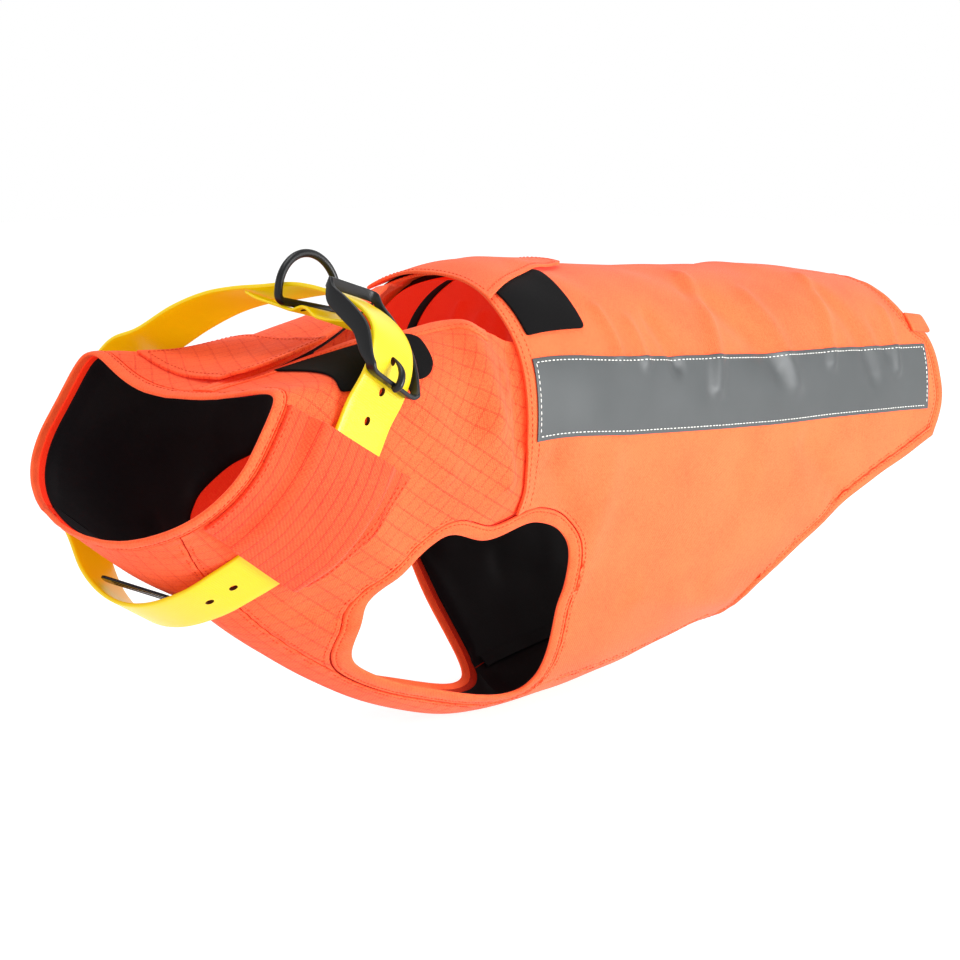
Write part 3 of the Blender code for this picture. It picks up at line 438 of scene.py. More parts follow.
CREASES: Rows = (       # soft folds too slight for the solids
    # name            x0      d0      x1      d1      reach   height
    ("tape_a",        0.086,  0.070,  0.091,  0.100,  0.0045,  0.0012),
    ("tape_b",        0.112,  0.080,  0.116,  0.108,  0.0050,  0.0011),
    ("tape_c",        0.136,  0.078,  0.148,  0.112,  0.0060, -0.0014),
    ("long_a",        0.216,  0.036,  0.188,  0.128,  0.0065,  0.0016),
    ("long_b",        0.206,  0.052,  0.262,  0.118,  0.0110, -0.0018),
    ("long_c",        0.262,  0.060,  0.282,  0.130,  0.0080,  0.0012),
    ("long_d",        0.352,  0.044,  0.330,  0.118,  0.0060,  0.0014),
    ("long_e",        0.350,  0.060,  0.384,  0.128,  0.0090, -0.0015),
    ("rear_a",        0.424,  0.076,  0.418,  0.124,  0.0050,  0.0012),
    ("rear_b",        0.398,  0.090,  0.404,  0.112,  0.0060, -0.0008),
    ("flank_a",       0.020,  0.165,  0.045,  0.205,  0.0100, -0.0016),
    ("flank_b",       0.075,  0.170,  0.060,  0.250,  0.0130,  0.0014),
    ("flank_c",       0.300,  0.176,  0.345,  0.214,  0.0120, -0.0014),
    ("belly_a",       0.130,  0.268,  0.250,  0.292,  0.0110,  0.0014),
    ("shoulder_a",   -0.120,  0.095, -0.075,  0.150,  0.0120,  0.0012),
    ("shoulder_b",   -0.030,  0.100, -0.020,  0.170,  0.0050,  0.0014),
    ("shoulder_c",   -0.016,  0.088, -0.010,  0.148,  0.0040, -0.0012),
    ("chest_a",      -0.115,  0.180, -0.080,  0.215,  0.0100,  0.0014),
    ("chest_b",      -0.150,  0.205, -0.090,  0.252,  0.0080, -0.0012),
)


class Body:
    """The surface that the vest is cut for, sampled once and read at any place."""

    def __init__(self) -> None:
        """Sample the rings into a table of points by station and share of the girth."""
        self.stations = np.linspace(-0.262, 0.500, 382)
        self.shares = np.linspace(0.0, 1.0, 601)
        sizes = self._loft(np.array([row[1] for row in RINGS]), np.array([row[2:] for row in RINGS]))
        self.table = np.empty((len(self.stations), len(self.shares), 3))
        self.keels = np.empty(len(self.stations))
        angles = np.linspace(0.0, math.pi, 385)
        upper = angles <= math.pi / 2
        for i, (x, row) in enumerate(zip(self.stations, sizes)):
            tilt, spine, keel, widest, half, above, below, hollow = row
            power = 2 / np.where(upper, above, below)
            across = half * np.abs(np.sin(angles)) ** power
            reach = np.where(upper, spine - widest, keel - widest)
            height = widest + reach * np.abs(np.cos(angles)) ** power
            height -= np.where(upper, hollow * (1 - (across / half) ** 2), 0.0)
            ring = np.stack([x + tilt * height, -across, height], axis=-1)
            run = lengths_along(ring)
            self.keels[i] = run[-1]
            self.table[i] = resampled(ring, run, self.shares * run[-1])

    def _loft(self, knots: Array, values: Array) -> Array:
        """Ring sizes at every station, smooth between the rows of the table.

        Args:
            knots: Stations of the rows.
            values: The rows.

        Returns:
            One row for every station.
        """
        steps = np.diff(knots)[:, None]
        rates = np.diff(values, axis=0) / steps
        inner = (steps[:-1] * rates[1:] + steps[1:] * rates[:-1]) / (steps[:-1] + steps[1:])
        slopes = np.vstack([rates[:1], inner, rates[-1:]])
        made = []
        for x in self.stations:
            i = int(np.clip(np.searchsorted(knots, x) - 1, 0, len(knots) - 2))
            span = knots[i + 1] - knots[i]
            t = (x - knots[i]) / span
            if t < 0.0:
                made.append(values[0] + slopes[0] * (x - knots[0]))
            elif t > 1.0:
                made.append(values[-1] + slopes[-1] * (x - knots[-1]))
            else:
                ease = 3 * t**2 - 2 * t**3
                made.append(values[i] * (1 - ease) + values[i + 1] * ease
                            + slopes[i] * span * (t**3 - 2 * t**2 + t)
                            + slopes[i + 1] * span * (t**3 - t**2))
        return np.array(made)

    def keel(self, x: Array | float) -> Array:
        """Girth from the spine to the keel at station x."""
        return np.interp(x, self.stations, self.keels)

    def plain(self, x: Array, d: Array) -> Array:
        """Points of the unfolded surface.

        Args:
            x: Stations.
            d: Girths, of the same shape.

        Returns:
            Points, with one axis more than x.
        """
        side = np.where(d >= 0.0, 1.0, -1.0)
        girth, keel = np.abs(d), self.keel(x)
        past = girth > keel
        girth = np.where(past, 2 * keel - girth, girth)
        side = np.where(past, -side, side)
        row = (x - self.stations[0]) / (self.stations[1] - self.stations[0])
        column = girth / keel * (len(self.shares) - 1)
        i = np.clip(np.floor(row).astype(int), 0, len(self.stations) - 2)
        j = np.clip(np.floor(column).astype(int), 0, len(self.shares) - 2)
        u, v = (row - i)[..., None], (column - j)[..., None]
        point = ((self.table[i, j] * (1 - v) + self.table[i, j + 1] * v) * (1 - u)
                 + (self.table[i + 1, j] * (1 - v) + self.table[i + 1, j + 1] * v) * u)
        point[..., 1] *= side
        for _name, x0, d0, reach, across, up in LEANS:
            share = np.exp(-((x - x0) ** 2 + (side * girth - d0) ** 2) / reach**2)
            point[..., 1] += across * share
            point[..., 2] += up * share
        return point

    def normals(self, x: Array, d: Array, step: float = 0.003) -> Array:
        """Outward directions of the unfolded surface.

        Args:
            x: Stations.
            d: Girths from the spine.
            step: How far apart it is sampled.

        Returns:
            Unit vectors.
        """
        along = self.plain(x + step, d) - self.plain(x - step, d)
        around = self.plain(x, d + step) - self.plain(x, d - step)
        normal = np.cross(around, along)
        return normal / np.linalg.norm(normal, axis=-1, keepdims=True)

    @staticmethod
    def ridge(x: Array, d: Array, row: tuple) -> Array:
        """Height that one fold of a table gives at every place.

        Args:
            x: Stations.
            d: Girths from the spine.
            row: The fold.

        Returns:
            The heights.
        """
        _name, x0, d0, x1, d1, reach, rise = row
        run = np.array([x1 - x0, d1 - d0])
        t = np.clip(((x - x0) * run[0] + (d - d0) * run[1]) / (run @ run), 0.0, 1.0)
        away = ((x - x0 - t * run[0]) ** 2 + (d - d0 - t * run[1]) ** 2) / reach**2
        return rise * np.exp(-away)

    def relief(self, x: Array, d: Array) -> Array:
        """Height of the cloth's folds and creases, a little different on the right.

        Args:
            x: Stations.
            d: Girths from the spine.

        Returns:
            The heights.
        """
        height = np.zeros_like(x)
        for row in FOLDS:
            height += self.ridge(x, np.abs(d), row)
        right = d < 0
        for row in CREASES:
            off = x * CREASE_OFF[0] + CREASE_OFF[1]
            height += CREASE_RISE * self.ridge(np.where(right, off, x), np.abs(d), row)
        wave = (np.sin(41 * x + 23 * d + 0.7) * np.sin(33 * d - 17 * x + 1.9)
                + 0.6 * np.sin(97 * x - 51 * d) * np.sin(71 * d + 29 * x + 0.4))
        return height + RIPPLE * wave

    def place(self, x: Array, d: Array, out: Array | float = 0.0) -> Array:
        """Points moved out from the folded surface, in the vest's own frame.

        Args:
            x: Stations.
            d: Girths from the spine.
            out: How far out.

        Returns:
            The points.
        """
        x, d = np.asarray(x, float), np.asarray(d, float)
        height = (np.asarray(out) + self.relief(x, d))[..., None]
        return self.plain(x, d) + self.normals(x, d) * height - CARRY


BODY = Body()


# --- outlines and patches in station and girth ---
def spline(rows: Rows, steps: int, closed: bool = False) -> Array:
    """Evenly spaced points on a smooth curve through rows of a name and numbers.

    Args:
        rows: The rows.
        steps: Segments of the curve.
        closed: Whether it ends where it starts.

    Returns:
        Points, without the last one of a closed curve.
    """
    knots = np.array([row[1:] for row in rows], dtype=float)
    if closed:
        knots = np.vstack([knots[-1], knots, knots[0], knots[1]])
    else:
        knots = np.vstack([2 * knots[0] - knots[1], knots, 2 * knots[-1] - knots[-2]])
    t = np.linspace(0.0, 1.0, 24, endpoint=False)[:, None]
    dense = [0.5 * (2 * b + (c - a) * t + (2 * a - 5 * b + 4 * c - e) * t**2
                    + (3 * b - a - 3 * c + e) * t**3)
             for a, b, c, e in zip(knots, knots[1:], knots[2:], knots[3:])]
    return even_points(np.vstack([*dense, knots[-2:-1]]), steps)


def even_points(curve: Array, steps: int) -> Array:
    """steps + 1 points at even distances along a polyline, by its first two columns."""
    run = lengths_along(curve[:, :2])
    return resampled(curve, run, np.linspace(0.0, run[-1], steps + 1))


def moved_aside(curve: Array, distance: float, closed: bool = False) -> Array:
    """A curve moved sideways, to the left of its direction.

    Args:
        curve: Places.
        distance: How far, in metres.
        closed: Whether it ends where it starts.

    Returns:
        The moved places.
    """
    if closed:
        run = np.roll(curve, -2, axis=0) - np.roll(curve, 2, axis=0)
    else:
        run = np.gradient(curve, axis=0)
    run = run / np.linalg.norm(run, axis=1)[:, None]
    return curve + distance * np.stack([-run[:, 1], run[:, 0]], axis=-1)


def patch(top: Array, bottom: Array, front: Array, rear: Array) -> Array:
    """Stations and girths that fill four edges; top and bottom run rearwards.

    Args:
        top: Upper edge.
        bottom: Lower edge.
        front: Front edge, from the top.
        rear: Rear edge, from the top.

    Returns:
        Places by column and line.
    """
    u = np.linspace(0.0, 1.0, len(top))[:, None, None]
    v = np.linspace(0.0, 1.0, len(front))[None, :, None]
    corners = ((1 - u) * (1 - v) * top[0] + u * (1 - v) * top[-1]
               + (1 - u) * v * bottom[0] + u * v * bottom[-1])
    return ((1 - v) * top[:, None] + v * bottom[:, None]
            + (1 - u) * front[None] + u * rear[None] - corners)


def line_between(start: Array, end: Array, steps: int) -> Array:
    """steps + 1 evenly spaced points on a straight line."""
    return np.linspace(np.asarray(start, float), np.asarray(end, float), steps + 1)


def smooth(t: Array) -> Array:
    """A soft step from 0 to 1."""
    t = np.clip(t, 0.0, 1.0)
    return t * t * (3 - 2 * t)


def rounded_patch(corners: Rows, steps_u: int, steps_v: int,
                  radii: tuple[float, ...] = (0.0, 0.0, 0.0, 0.0)) -> Array:
    """A plain four-sided patch whose corners may be rounded.

    Args:
        corners: Four places in order round it.
        steps_u: Segments from the first corner to the second.
        steps_v: Segments from the first corner to the fourth.
        radii: Radius at each corner.

    Returns:
        Places by column and line.
    """
    a, b, c, e = (np.array(corner) for corner in corners)
    wide = (np.linalg.norm(b - a) + np.linalg.norm(c - e)) / 2
    high = (np.linalg.norm(e - a) + np.linalg.norm(c - b)) / 2
    u, v = np.meshgrid(np.linspace(0, 1, steps_u + 1), np.linspace(0, 1, steps_v + 1), indexing="ij")
    for (s, t), radius in zip(((0, 0), (1, 0), (1, 1), (0, 1)), radii):
        if not radius:
            continue
        p = 1 - np.abs(u - s) * wide / radius
        q = 1 - np.abs(v - t) * high / radius
        inside = (p > 0) & (q > 0)
        shrink = np.where(inside, np.maximum(p, q) / np.maximum(np.hypot(p, q), 1e-9), 1.0)
        u = np.where(inside, np.abs(s - (1 - p * shrink) * radius / wide), u)
        v = np.where(inside, np.abs(t - (1 - q * shrink) * radius / high), v)
    u, v = u[..., None], v[..., None]
    return (1 - v) * ((1 - u) * a + u * b) + v * ((1 - u) * e + u * c)


def mirrored(places: Array) -> Array:
    """The same places on the other side of the wearer, faces still outwards."""
    return places[::-1] * mirror("right")


def beyond_keel(places: Array) -> Array:
    """Places on the left taken to the right, counted on past the keel."""
    return np.stack([places[..., 0], 2 * BODY.keel(places[..., 0]) - places[..., 1]], axis=-1)


def round_keel(line: Array) -> Array:
    """A line that ends at the keel, carried on up the other side."""
    return np.vstack([line, beyond_keel(line[1:-1])[::-1]])


# --- meshes ---
class Side(Enum):
    """The side of its surface to which a piece's thickness goes."""

    INWARDS = -1.0
    CENTRED = 0.0
    OUTWARDS = 1.0


def grid_mesh(name: str, points: Array, cut: Array) -> bpy.types.Mesh:
    """A grid moved onto the given points, with its flat cut as a UV map in metres.

    Args:
        name: Name of the mesh.
        points: A grid of points in space.
        cut: Their places on the flat cut.

    Returns:
        The mesh.
    """
    columns, lines = points.shape[0] - 1, points.shape[1] - 1
    mesh = bpy.data.meshes.new(name)
    grid = bmesh.new()
    bmesh.ops.create_grid(grid, x_segments=columns, y_segments=lines, size=1.0)
    grid.to_mesh(mesh)
    grid.free()
    flat = np.empty(len(mesh.vertices) * 3, np.float32)
    mesh.vertices.foreach_get("co", flat)
    at = np.rint((flat.reshape(-1, 3)[:, :2] + 1) / 2 * (columns, lines)).astype(int)
    mesh.vertices.foreach_set("co", points[at[:, 0], at[:, 1]].astype(np.float32).ravel())
    corners = np.empty(len(mesh.loops), np.int32)
    mesh.loops.foreach_get("vertex_index", corners)
    layer = mesh.uv_layers.new(name="cut")
    layer.data.foreach_set("uv", cut[at[corners, 0], at[corners, 1]].astype(np.float32).ravel())
    mesh.update()
    return mesh


def in_scene(name: str, data: bpy.types.ID) -> bpy.types.Object:
    """A new object with its data, put in the scene."""
    item = bpy.data.objects.new(name, data)
    bpy.context.scene.collection.objects.link(item)
    return item


def add_piece(name: str, mesh: bpy.types.Mesh, finish: Finish, body: str = VEST,
              replaces: tuple[str, ...] = ()) -> bpy.types.Object:
    """Put a finished mesh in the scene, riding on its body.

    Args:
        name: The piece's name.
        mesh: Its mesh, already in place.
        finish: What it is made of.
        body: The body it rides on.
        replaces: The solids that it stands for.

    Returns:
        The new object.
    """
    item = in_scene(name, mesh)
    mesh.materials.clear()
    mesh.materials.append(finish.material())
    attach(item, body)
    if replaces:
        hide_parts(*replaces)
    return item


def applied(item: bpy.types.Object, angle: float = 45.0) -> bpy.types.Object:
    """Bake a piece's modifiers into its mesh and keep its sharp rims sharp.

    Args:
        item: The piece.
        angle: Degrees from which an edge is sharp.

    Returns:
        The piece.
    """
    graph = bpy.context.evaluated_depsgraph_get()
    baked = bpy.data.meshes.new_from_object(item.evaluated_get(graph))
    item.modifiers.clear()
    old, item.data = item.data, baked
    baked.name = old.name
    bpy.data.meshes.remove(old)
    baked.shade_smooth()
    baked.set_sharp_from_angle(angle=math.radians(angle))
    return item


def walled(item: bpy.types.Object, wall: float, side: Side) -> None:
    """Give an open sheet its wall."""
    solid = item.modifiers.new("wall", "SOLIDIFY")
    solid.thickness, solid.offset, solid.use_even_offset = wall, side.value, False


def cloth_piece(name: str, points: Array, cut: Array, wall: float, finish: Finish,
                side: Side = Side.INWARDS, replaces: tuple[str, ...] = (),
                soft_edge: float = 0.0) -> bpy.types.Object:
    """A sewn piece: an open sheet on its points, given its wall.

    Args:
        name: The piece's name.
        points: Places in space by column and line.
        cut: The same places laid flat, in metres.
        wall: Thickness of the cloth.
        finish: What it is made of.
        side: Where the wall lies.
        replaces: The solids that it stands for.
        soft_edge: Radius of its rounded edges, or 0.

    Returns:
        The finished piece.
    """
    item = add_piece(name, grid_mesh(name, points, cut), finish, VEST, replaces)
    walled(item, wall, side)
    if soft_edge:
        bevel = item.modifiers.new("edge", "BEVEL")
        bevel.width, bevel.segments = soft_edge, 2
        bevel.limit_method, bevel.angle_limit = "ANGLE", math.radians(50)
    return applied(item)


def closed_shell(mesh: bpy.types.Mesh, fill: bool, sharp: float) -> bpy.types.Mesh:
    """Merge a shell's doubles, close its ends, turn its faces outwards and smooth it.

    Args:
        mesh: The shell.
        fill: Whether its ends are open.
        sharp: Degrees from which an edge is sharp.

    Returns:
        The mesh.
    """
    shell = bmesh.new()
    shell.from_mesh(mesh)
    bmesh.ops.remove_doubles(shell, verts=shell.verts, dist=1e-6)
    if fill:
        bmesh.ops.holes_fill(shell, edges=[edge for edge in shell.edges if edge.is_boundary], sides=0)
    bmesh.ops.recalc_face_normals(shell, faces=shell.faces)
    shell.to_mesh(mesh)
    shell.free()
    mesh.shade_smooth()
    mesh.set_sharp_from_angle(angle=math.radians(sharp))
    return mesh


def swept_piece(name: str, sections: Array, ring: bool, finish: Finish, replaces: tuple[str, ...] = (),
                body: str = VEST, cut: Array | None = None) -> bpy.types.Object:
    """A closed section carried along a path.

    Args:
        name: The piece's name.
        sections: Points in space by stop and place round the section.
        ring: Whether the path closes on itself.
        finish: What it is made of.
        replaces: The solids that it stands for.
        body: The body it rides on.
        cut: The flat cut of the same points, or None for lengths along and around.

    Returns:
        The new piece.
    """
    if cut is None:
        lengths = lengths_along(sections.mean(axis=1)), lengths_along(sections[0])
        cut = np.stack(np.meshgrid(*lengths, indexing="ij"), axis=-1)
    sections = np.concatenate([sections, sections[:, :1]], axis=1)
    cut = np.concatenate([cut, cut[:, -1:] + (cut[:, -1:] - cut[:, -2:-1])], axis=1)
    if ring:
        sections = np.concatenate([sections, sections[:1]])
        cut = np.concatenate([cut, 2 * cut[-1:] - cut[-2:-1]])
    mesh = closed_shell(grid_mesh(name, sections, cut), not ring, 50.0)
    return add_piece(name, mesh, finish, body, replaces)


def declare_cloth(item: bpy.types.Object, points: Array) -> None:
    """Log what a piece was cut to: its longest lines and its own area.

    Args:
        item: The piece.
        points: The grid that it was made on.
    """
    columns = np.linalg.norm(np.diff(points, axis=1), axis=2).sum(axis=1)
    lines = np.linalg.norm(np.diff(points, axis=0), axis=2).sum(axis=0)
    width, length = float(columns.max()), float(lines.max())
    across = np.cross(points[1:, 1:] - points[:-1, :-1], points[:-1, 1:] - points[1:, :-1])
    area = float(np.linalg.norm(across, axis=2).sum() / 2)
    area = min(max(area, 0.3 * width * length), width * length)
    LOG.info("%s is cut %.0f x %.0f mm, %.4f m2", item.name, width / MM, length / MM, area)


# --- the cut: lines that neighbouring pieces share --------------------------------
@dataclass
class Cut:
    """Outlines of the vest's pieces as station and girth."""

    fine: int = 6                   # segments here for each one of the solids
    hem: float = 0.009
    seam: float = 0.0008
    rim_x: float = -0.2452
    leg_hole: Rows = (
        # name          x       d
        ("heel_front", -0.058,  0.295),
        ("front",      -0.077,  0.254),
        ("front_top",  -0.081,  0.230),
        ("crest_front", -0.058, 0.197),
        ("crest",      -0.022,  0.206),
        ("crest_rear",  0.014,  0.202),
        ("rear_top",    0.046,  0.221),
        ("rear",        0.054,  0.270),
        ("rear_low",    0.064,  0.327),
        ("foot",        0.047,  0.3435),
        ("foot_front", -0.002,  0.326),
    )
    rear_rows: Rows = (
        ("spine",       0.448,  0.000),
        ("back",        0.451,  0.055),
        ("notch",       0.457,  0.084),
        ("step",        0.473,  0.095),
        ("side",        0.481,  0.124),
        ("widest",      0.485,  0.147),
        ("low",         0.476,  0.175),
        ("flank",       0.432,  0.195),
        ("flank_mid",   0.370,  0.222),
        ("flank_low",   0.320,  0.256),
        ("tuck_up",     0.290,  0.284),
        ("belly",       0.279,  0.312),
    )
    saddle_front: Rows = (
        ("spine",       0.000,  0.000),
        ("withers",    -0.010,  0.050),
        ("side_top",   -0.009,  0.095),
        ("side",       -0.006,  0.148),
    )
    near_top: Rows = (
        ("nape",       -0.150,  0.030),
        ("slit",       -0.111,  0.047),
        ("open",       -0.070,  0.055),
        ("sag",        -0.045,  0.070),
        ("saddle",      0.000,  0.087),
    )
    far_top: Rows = (
        ("nape",       -0.150, -0.012),
        ("slit",       -0.076,  0.008),
        ("open",       -0.040,  0.020),
        ("saddle",      0.000,  0.034),
    )
    chest_kept: Rows = (
        ("rim",         0.0,    0.0580),
        ("throat",     -0.193,  0.0430),
        ("chest",      -0.136,  0.0260),
    )

    def __post_init__(self) -> None:
        """Work out every shared line once."""
        n = self.fine
        self.panel_front = self.rim_x + self.hem + self.seam
        self.hole_edge = spline(self.leg_hole, 28 * n, closed=True)[:-1]
        self.hole_hem = moved_aside(self.hole_edge, -self.hem, closed=True)
        line = moved_aside(self.hole_edge, -(self.hem + self.seam), closed=True)
        front_stop = self.nearest(line, (0.000, 0.195))
        belly_stop = self.nearest(line, (0.074, 0.340))
        self.over_leg = line[:front_stop + n + 1]
        self.behind_leg = line[front_stop:belly_stop + 1]
        self.between_legs = np.vstack([line[belly_stop:], line[:1]])[::-1]
        self.chest = self.chest_seam(line[0])
        rear_top = spline(self.rear_rows[:7], 14 * n)
        flank = spline(self.rear_rows[6:], 7 * n)
        keel_end = (0.270, float(BODY.keel(0.270)))
        keel = line_between(flank[-1], keel_end, 3 * n)
        self.rear_edge = np.vstack([rear_top, flank[1:], keel[1:]])
        self.rear_hem = moved_aside(self.rear_edge, self.hem)
        inner = moved_aside(self.rear_edge, self.hem + self.seam)
        low, belly = 14 * n, 21 * n
        self.panel_rear = inner[:low + 1]
        self.panel_flank = inner[low:belly + 1][::-1]
        self.panel_keel = inner[belly:]
        self.belly = self.belly_seam(self.behind_leg[-1], self.panel_flank[0])

    def nearest(self, line: Array, place: tuple[float, float]) -> int:
        """Number of the seam point of the solids that lies nearest a place."""
        coarse = line[::self.fine]
        return self.fine * int(np.argmin(np.linalg.norm(coarse - np.array(place), axis=1)))

    def chest_seam(self, end: Array) -> Array:
        """From the rim to the leg hole, at the girths kept from the keel.

        Args:
            end: Where it meets the hole.

        Returns:
            The seam.
        """
        stations = [self.panel_front, *[row[1] for row in self.chest_kept[1:]]]
        rows = [("row", x, float(BODY.keel(x)) - row[2]) for x, row in zip(stations, self.chest_kept)]
        return spline((*rows, ("hole", *end)), 12 * self.fine)

    def belly_seam(self, start: Array, end: Array) -> Array:
        """From behind the leg hole to the rear hem.

        Args:
            start: Where it leaves the hole.
            end: Where it meets the hem.

        Returns:
            The seam.
        """
        kept, flare = 0.041, start[0] + 0.022
        middle = (start[0] + end[0]) / 2
        rows = (("leg", *start), ("flare", flare, float(BODY.keel(flare)) - kept + 0.004),
                ("middle", middle, float(BODY.keel(middle)) - kept), ("rear", *end))
        return spline(rows, 7 * self.fine)

    def saddle(self) -> Array:
        """The left half of the saddle, spine to belly seam, front to rear.

        Returns:
            Places by column and line.
        """
        bottom = np.vstack([self.behind_leg, self.belly[1:], self.panel_flank[1:]])
        front = spline((*self.saddle_front, ("hole", *self.behind_leg[0])), 14 * self.fine)
        top = line_between(front[0], self.panel_rear[0], len(bottom) - 1)
        return patch(top, bottom, front, self.panel_rear)

    def shoulder(self, rows: Rows, rim_d: float) -> Array:
        """A shoulder: its upper edge, the chest seam, and the leg hole at its rear.

        Args:
            rows: Its upper edge.
            rim_d: Girth where that edge meets the rim.

        Returns:
            Places by column and line.
        """
        top = spline((("rim", self.panel_front, rim_d), *rows), 12 * self.fine)
        hole = self.over_leg[::-1]
        rear = np.vstack([line_between(top[-1], hole[0], 6 * self.fine), hole[1:]])
        front = line_between(top[0], self.chest[0], len(rear) - 1)
        return patch(top, self.chest, front, rear)

    def across_keel(self, line: Array, front_gap: float, rear_gap: float,
                    rear_half: Array | None = None) -> Array:
        """A panel across the keel between a seam on the left and its mirror.

        Args:
            line: The seam.
            front_gap: What stays free at its front.
            rear_gap: What stays free at its rear.
            rear_half: The left half of a curved rear end.

        Returns:
            Places by column and line.
        """
        left = moved_aside(line, self.seam)
        left[0, 0] += front_gap
        left[-1, 0] -= rear_gap
        right = beyond_keel(left)
        steps = 6 * self.fine
        rear = line_between(left[-1], right[-1], steps)
        if rear_half is not None:
            rear[1:-1] = round_keel(rear_half)[1:]
        return patch(left, right, line_between(left[0], right[0], steps), rear)


def both_sides(places: Array) -> Array:
    """A left half joined to its mirror at the spine, from right to left."""
    right = places[:, ::-1] * mirror("right")
    return np.concatenate([right[:, :-1], places], axis=1)


TUCK_DEPTH, TUCK_START, TUCK_RUN = -0.0031, -0.032, 0.020


def tucked(places: Array) -> Array:
    """Height of a shoulder: it dips under the saddle's front edge."""
    return TUCK_DEPTH * smooth((places[..., 0] - TUCK_START) / TUCK_RUN)


def mirror(side: str) -> Array:
    """What takes a place on the left to the named side."""
    return np.array([1.0, 1.0 if side == "left" else -1.0])


def on_surface(places: Array, out: Array | float = 0.0) -> Array:
    """Points in space of a patch, in the order that turns its faces outwards."""
    return BODY.place(places[..., 0], places[..., 1], out)[::-1]


# --- stitching ---
class Stitches:
    """Rows of single stitches, gathered into one mesh for each thread."""

    wander: float = 0.10            # share of its length that a stitch lies off its place
    reach: float = 0.0005           # how far ahead its direction is read

    def __init__(self, name: str, finish: Finish) -> None:
        """Start with no stitch sewn."""
        self.name, self.finish = name, finish
        self.sewn: list[Array] = []

    def row(self, places: Array, out: Array | float, pitch: float = 0.0034,
            length: float = 0.0024, thick: float = 0.00035, ring: bool = False) -> None:
        """Sew along places on the vest.

        Args:
            places: Stations and girths of the row.
            out: Height of the cloth that it is sewn on, one for all or one for each place.
            pitch: Distance from stitch to stitch.
            length: Length of a stitch.
            thick: Half its width.
            ring: Whether the row closes on itself.
        """
        height = np.broadcast_to(out, len(places))
        if ring:
            places, height = np.vstack([places, places[:1]]), np.append(height, height[0])
        points = BODY.place(places[:, 0], places[:, 1], height)
        run = lengths_along(points)
        stops = np.arange(pitch / 2, run[-1] - pitch / 2, pitch)
        stops = stops + self.wander * length * np.sin(1.7 * np.arange(len(stops)))
        table = np.column_stack([places, height])
        here, ahead = resampled(table, run, stops).T, resampled(table, run, stops + self.reach).T
        middles, up = BODY.place(*here), BODY.normals(here[0], here[1])
        along = BODY.place(*ahead) - middles
        along /= np.linalg.norm(along, axis=1, keepdims=True)
        side = np.cross(up, along)
        side /= np.linalg.norm(side, axis=1, keepdims=True)
        up = np.cross(along, side)
        self.sewn.append(np.stack([along * length / 2, side * thick, up * thick, middles], axis=1))

    def finish_piece(self) -> None:
        """Copy one drop of thread to every stitch, half sunk in the cloth."""
        frames = np.concatenate(self.sewn)
        draft = bmesh.new()
        bmesh.ops.create_uvsphere(draft, u_segments=6, v_segments=4, radius=1.0)
        mesh = bpy.data.meshes.new(self.name)
        draft.to_mesh(mesh)
        draft.free()
        one = np.empty(len(mesh.vertices) * 3, np.float32)
        mesh.vertices.foreach_get("co", one)
        item = add_piece(self.name, mesh, self.finish)
        copies = item.modifiers.new("copies", "ARRAY")
        copies.count, copies.use_relative_offset = len(frames), False
        applied(item, 180.0)
        points = np.einsum("vi,nij->nvj", one.reshape(-1, 3), frames[:, :3]) + frames[:, None, 3]
        item.data.vertices.foreach_set("co", points.astype(np.float32).ravel())
        item.data.update()
        LOG.info("%s has %d stitches", self.name, len(frames))


# --- the sewn pieces ---
def border_runs(places: Array, edge: str) -> tuple[Array, Array]:
    """Distance of every place to one edge of its patch, and the length along it.

    Args:
        places: Stations and girths by column and line.
        edge: "top", "bottom", "front" or "rear".

    Returns:
        Distances and lengths, for every place.
    """
    line = {"top": places[:, :1], "bottom": places[:, -1:], "front": places[:1], "rear": places[-1:]}[edge]
    axis = 0 if edge in ("top", "bottom") else 1
    steps = np.linalg.norm(np.diff(line, axis=axis), axis=-1)
    start = np.zeros_like(np.take(steps, [0], axis=axis))
    run = np.concatenate([start, np.cumsum(steps, axis=axis)], axis=axis)
    away = np.linalg.norm(places - line, axis=-1)
    return away, np.broadcast_to(run, away.shape)


# Gathers beside a seam: length of one, of their drift and swell, and how far they reach.
GATHER, GATHER_DRIFT, GATHER_SWELL, GATHER_REACH = 0.0125, 0.071, 0.143, 0.007


def puckers(places: Array, edges: tuple[str, ...], depth: float = 0.00045) -> Array:
    """Height of the small uneven gathers that sewing leaves beside a seam.

    Args:
        places: A panel's places.
        edges: The edges that are sewn.
        depth: Height of a gather.

    Returns:
        A height for every place.
    """
    height = np.zeros(places.shape[:2])
    for number, edge in enumerate(edges):
        away, run = border_runs(places, edge)
        turn = 2 * math.pi * run
        wave = np.sin(turn / GATHER + 1.7 * np.sin(turn / GATHER_DRIFT + number))
        swell = 0.65 + 0.35 * np.sin(turn / GATHER_SWELL + 2 * number)
        height += depth * swell * wave * np.exp(-(away / GATHER_REACH) ** 2)
    return height


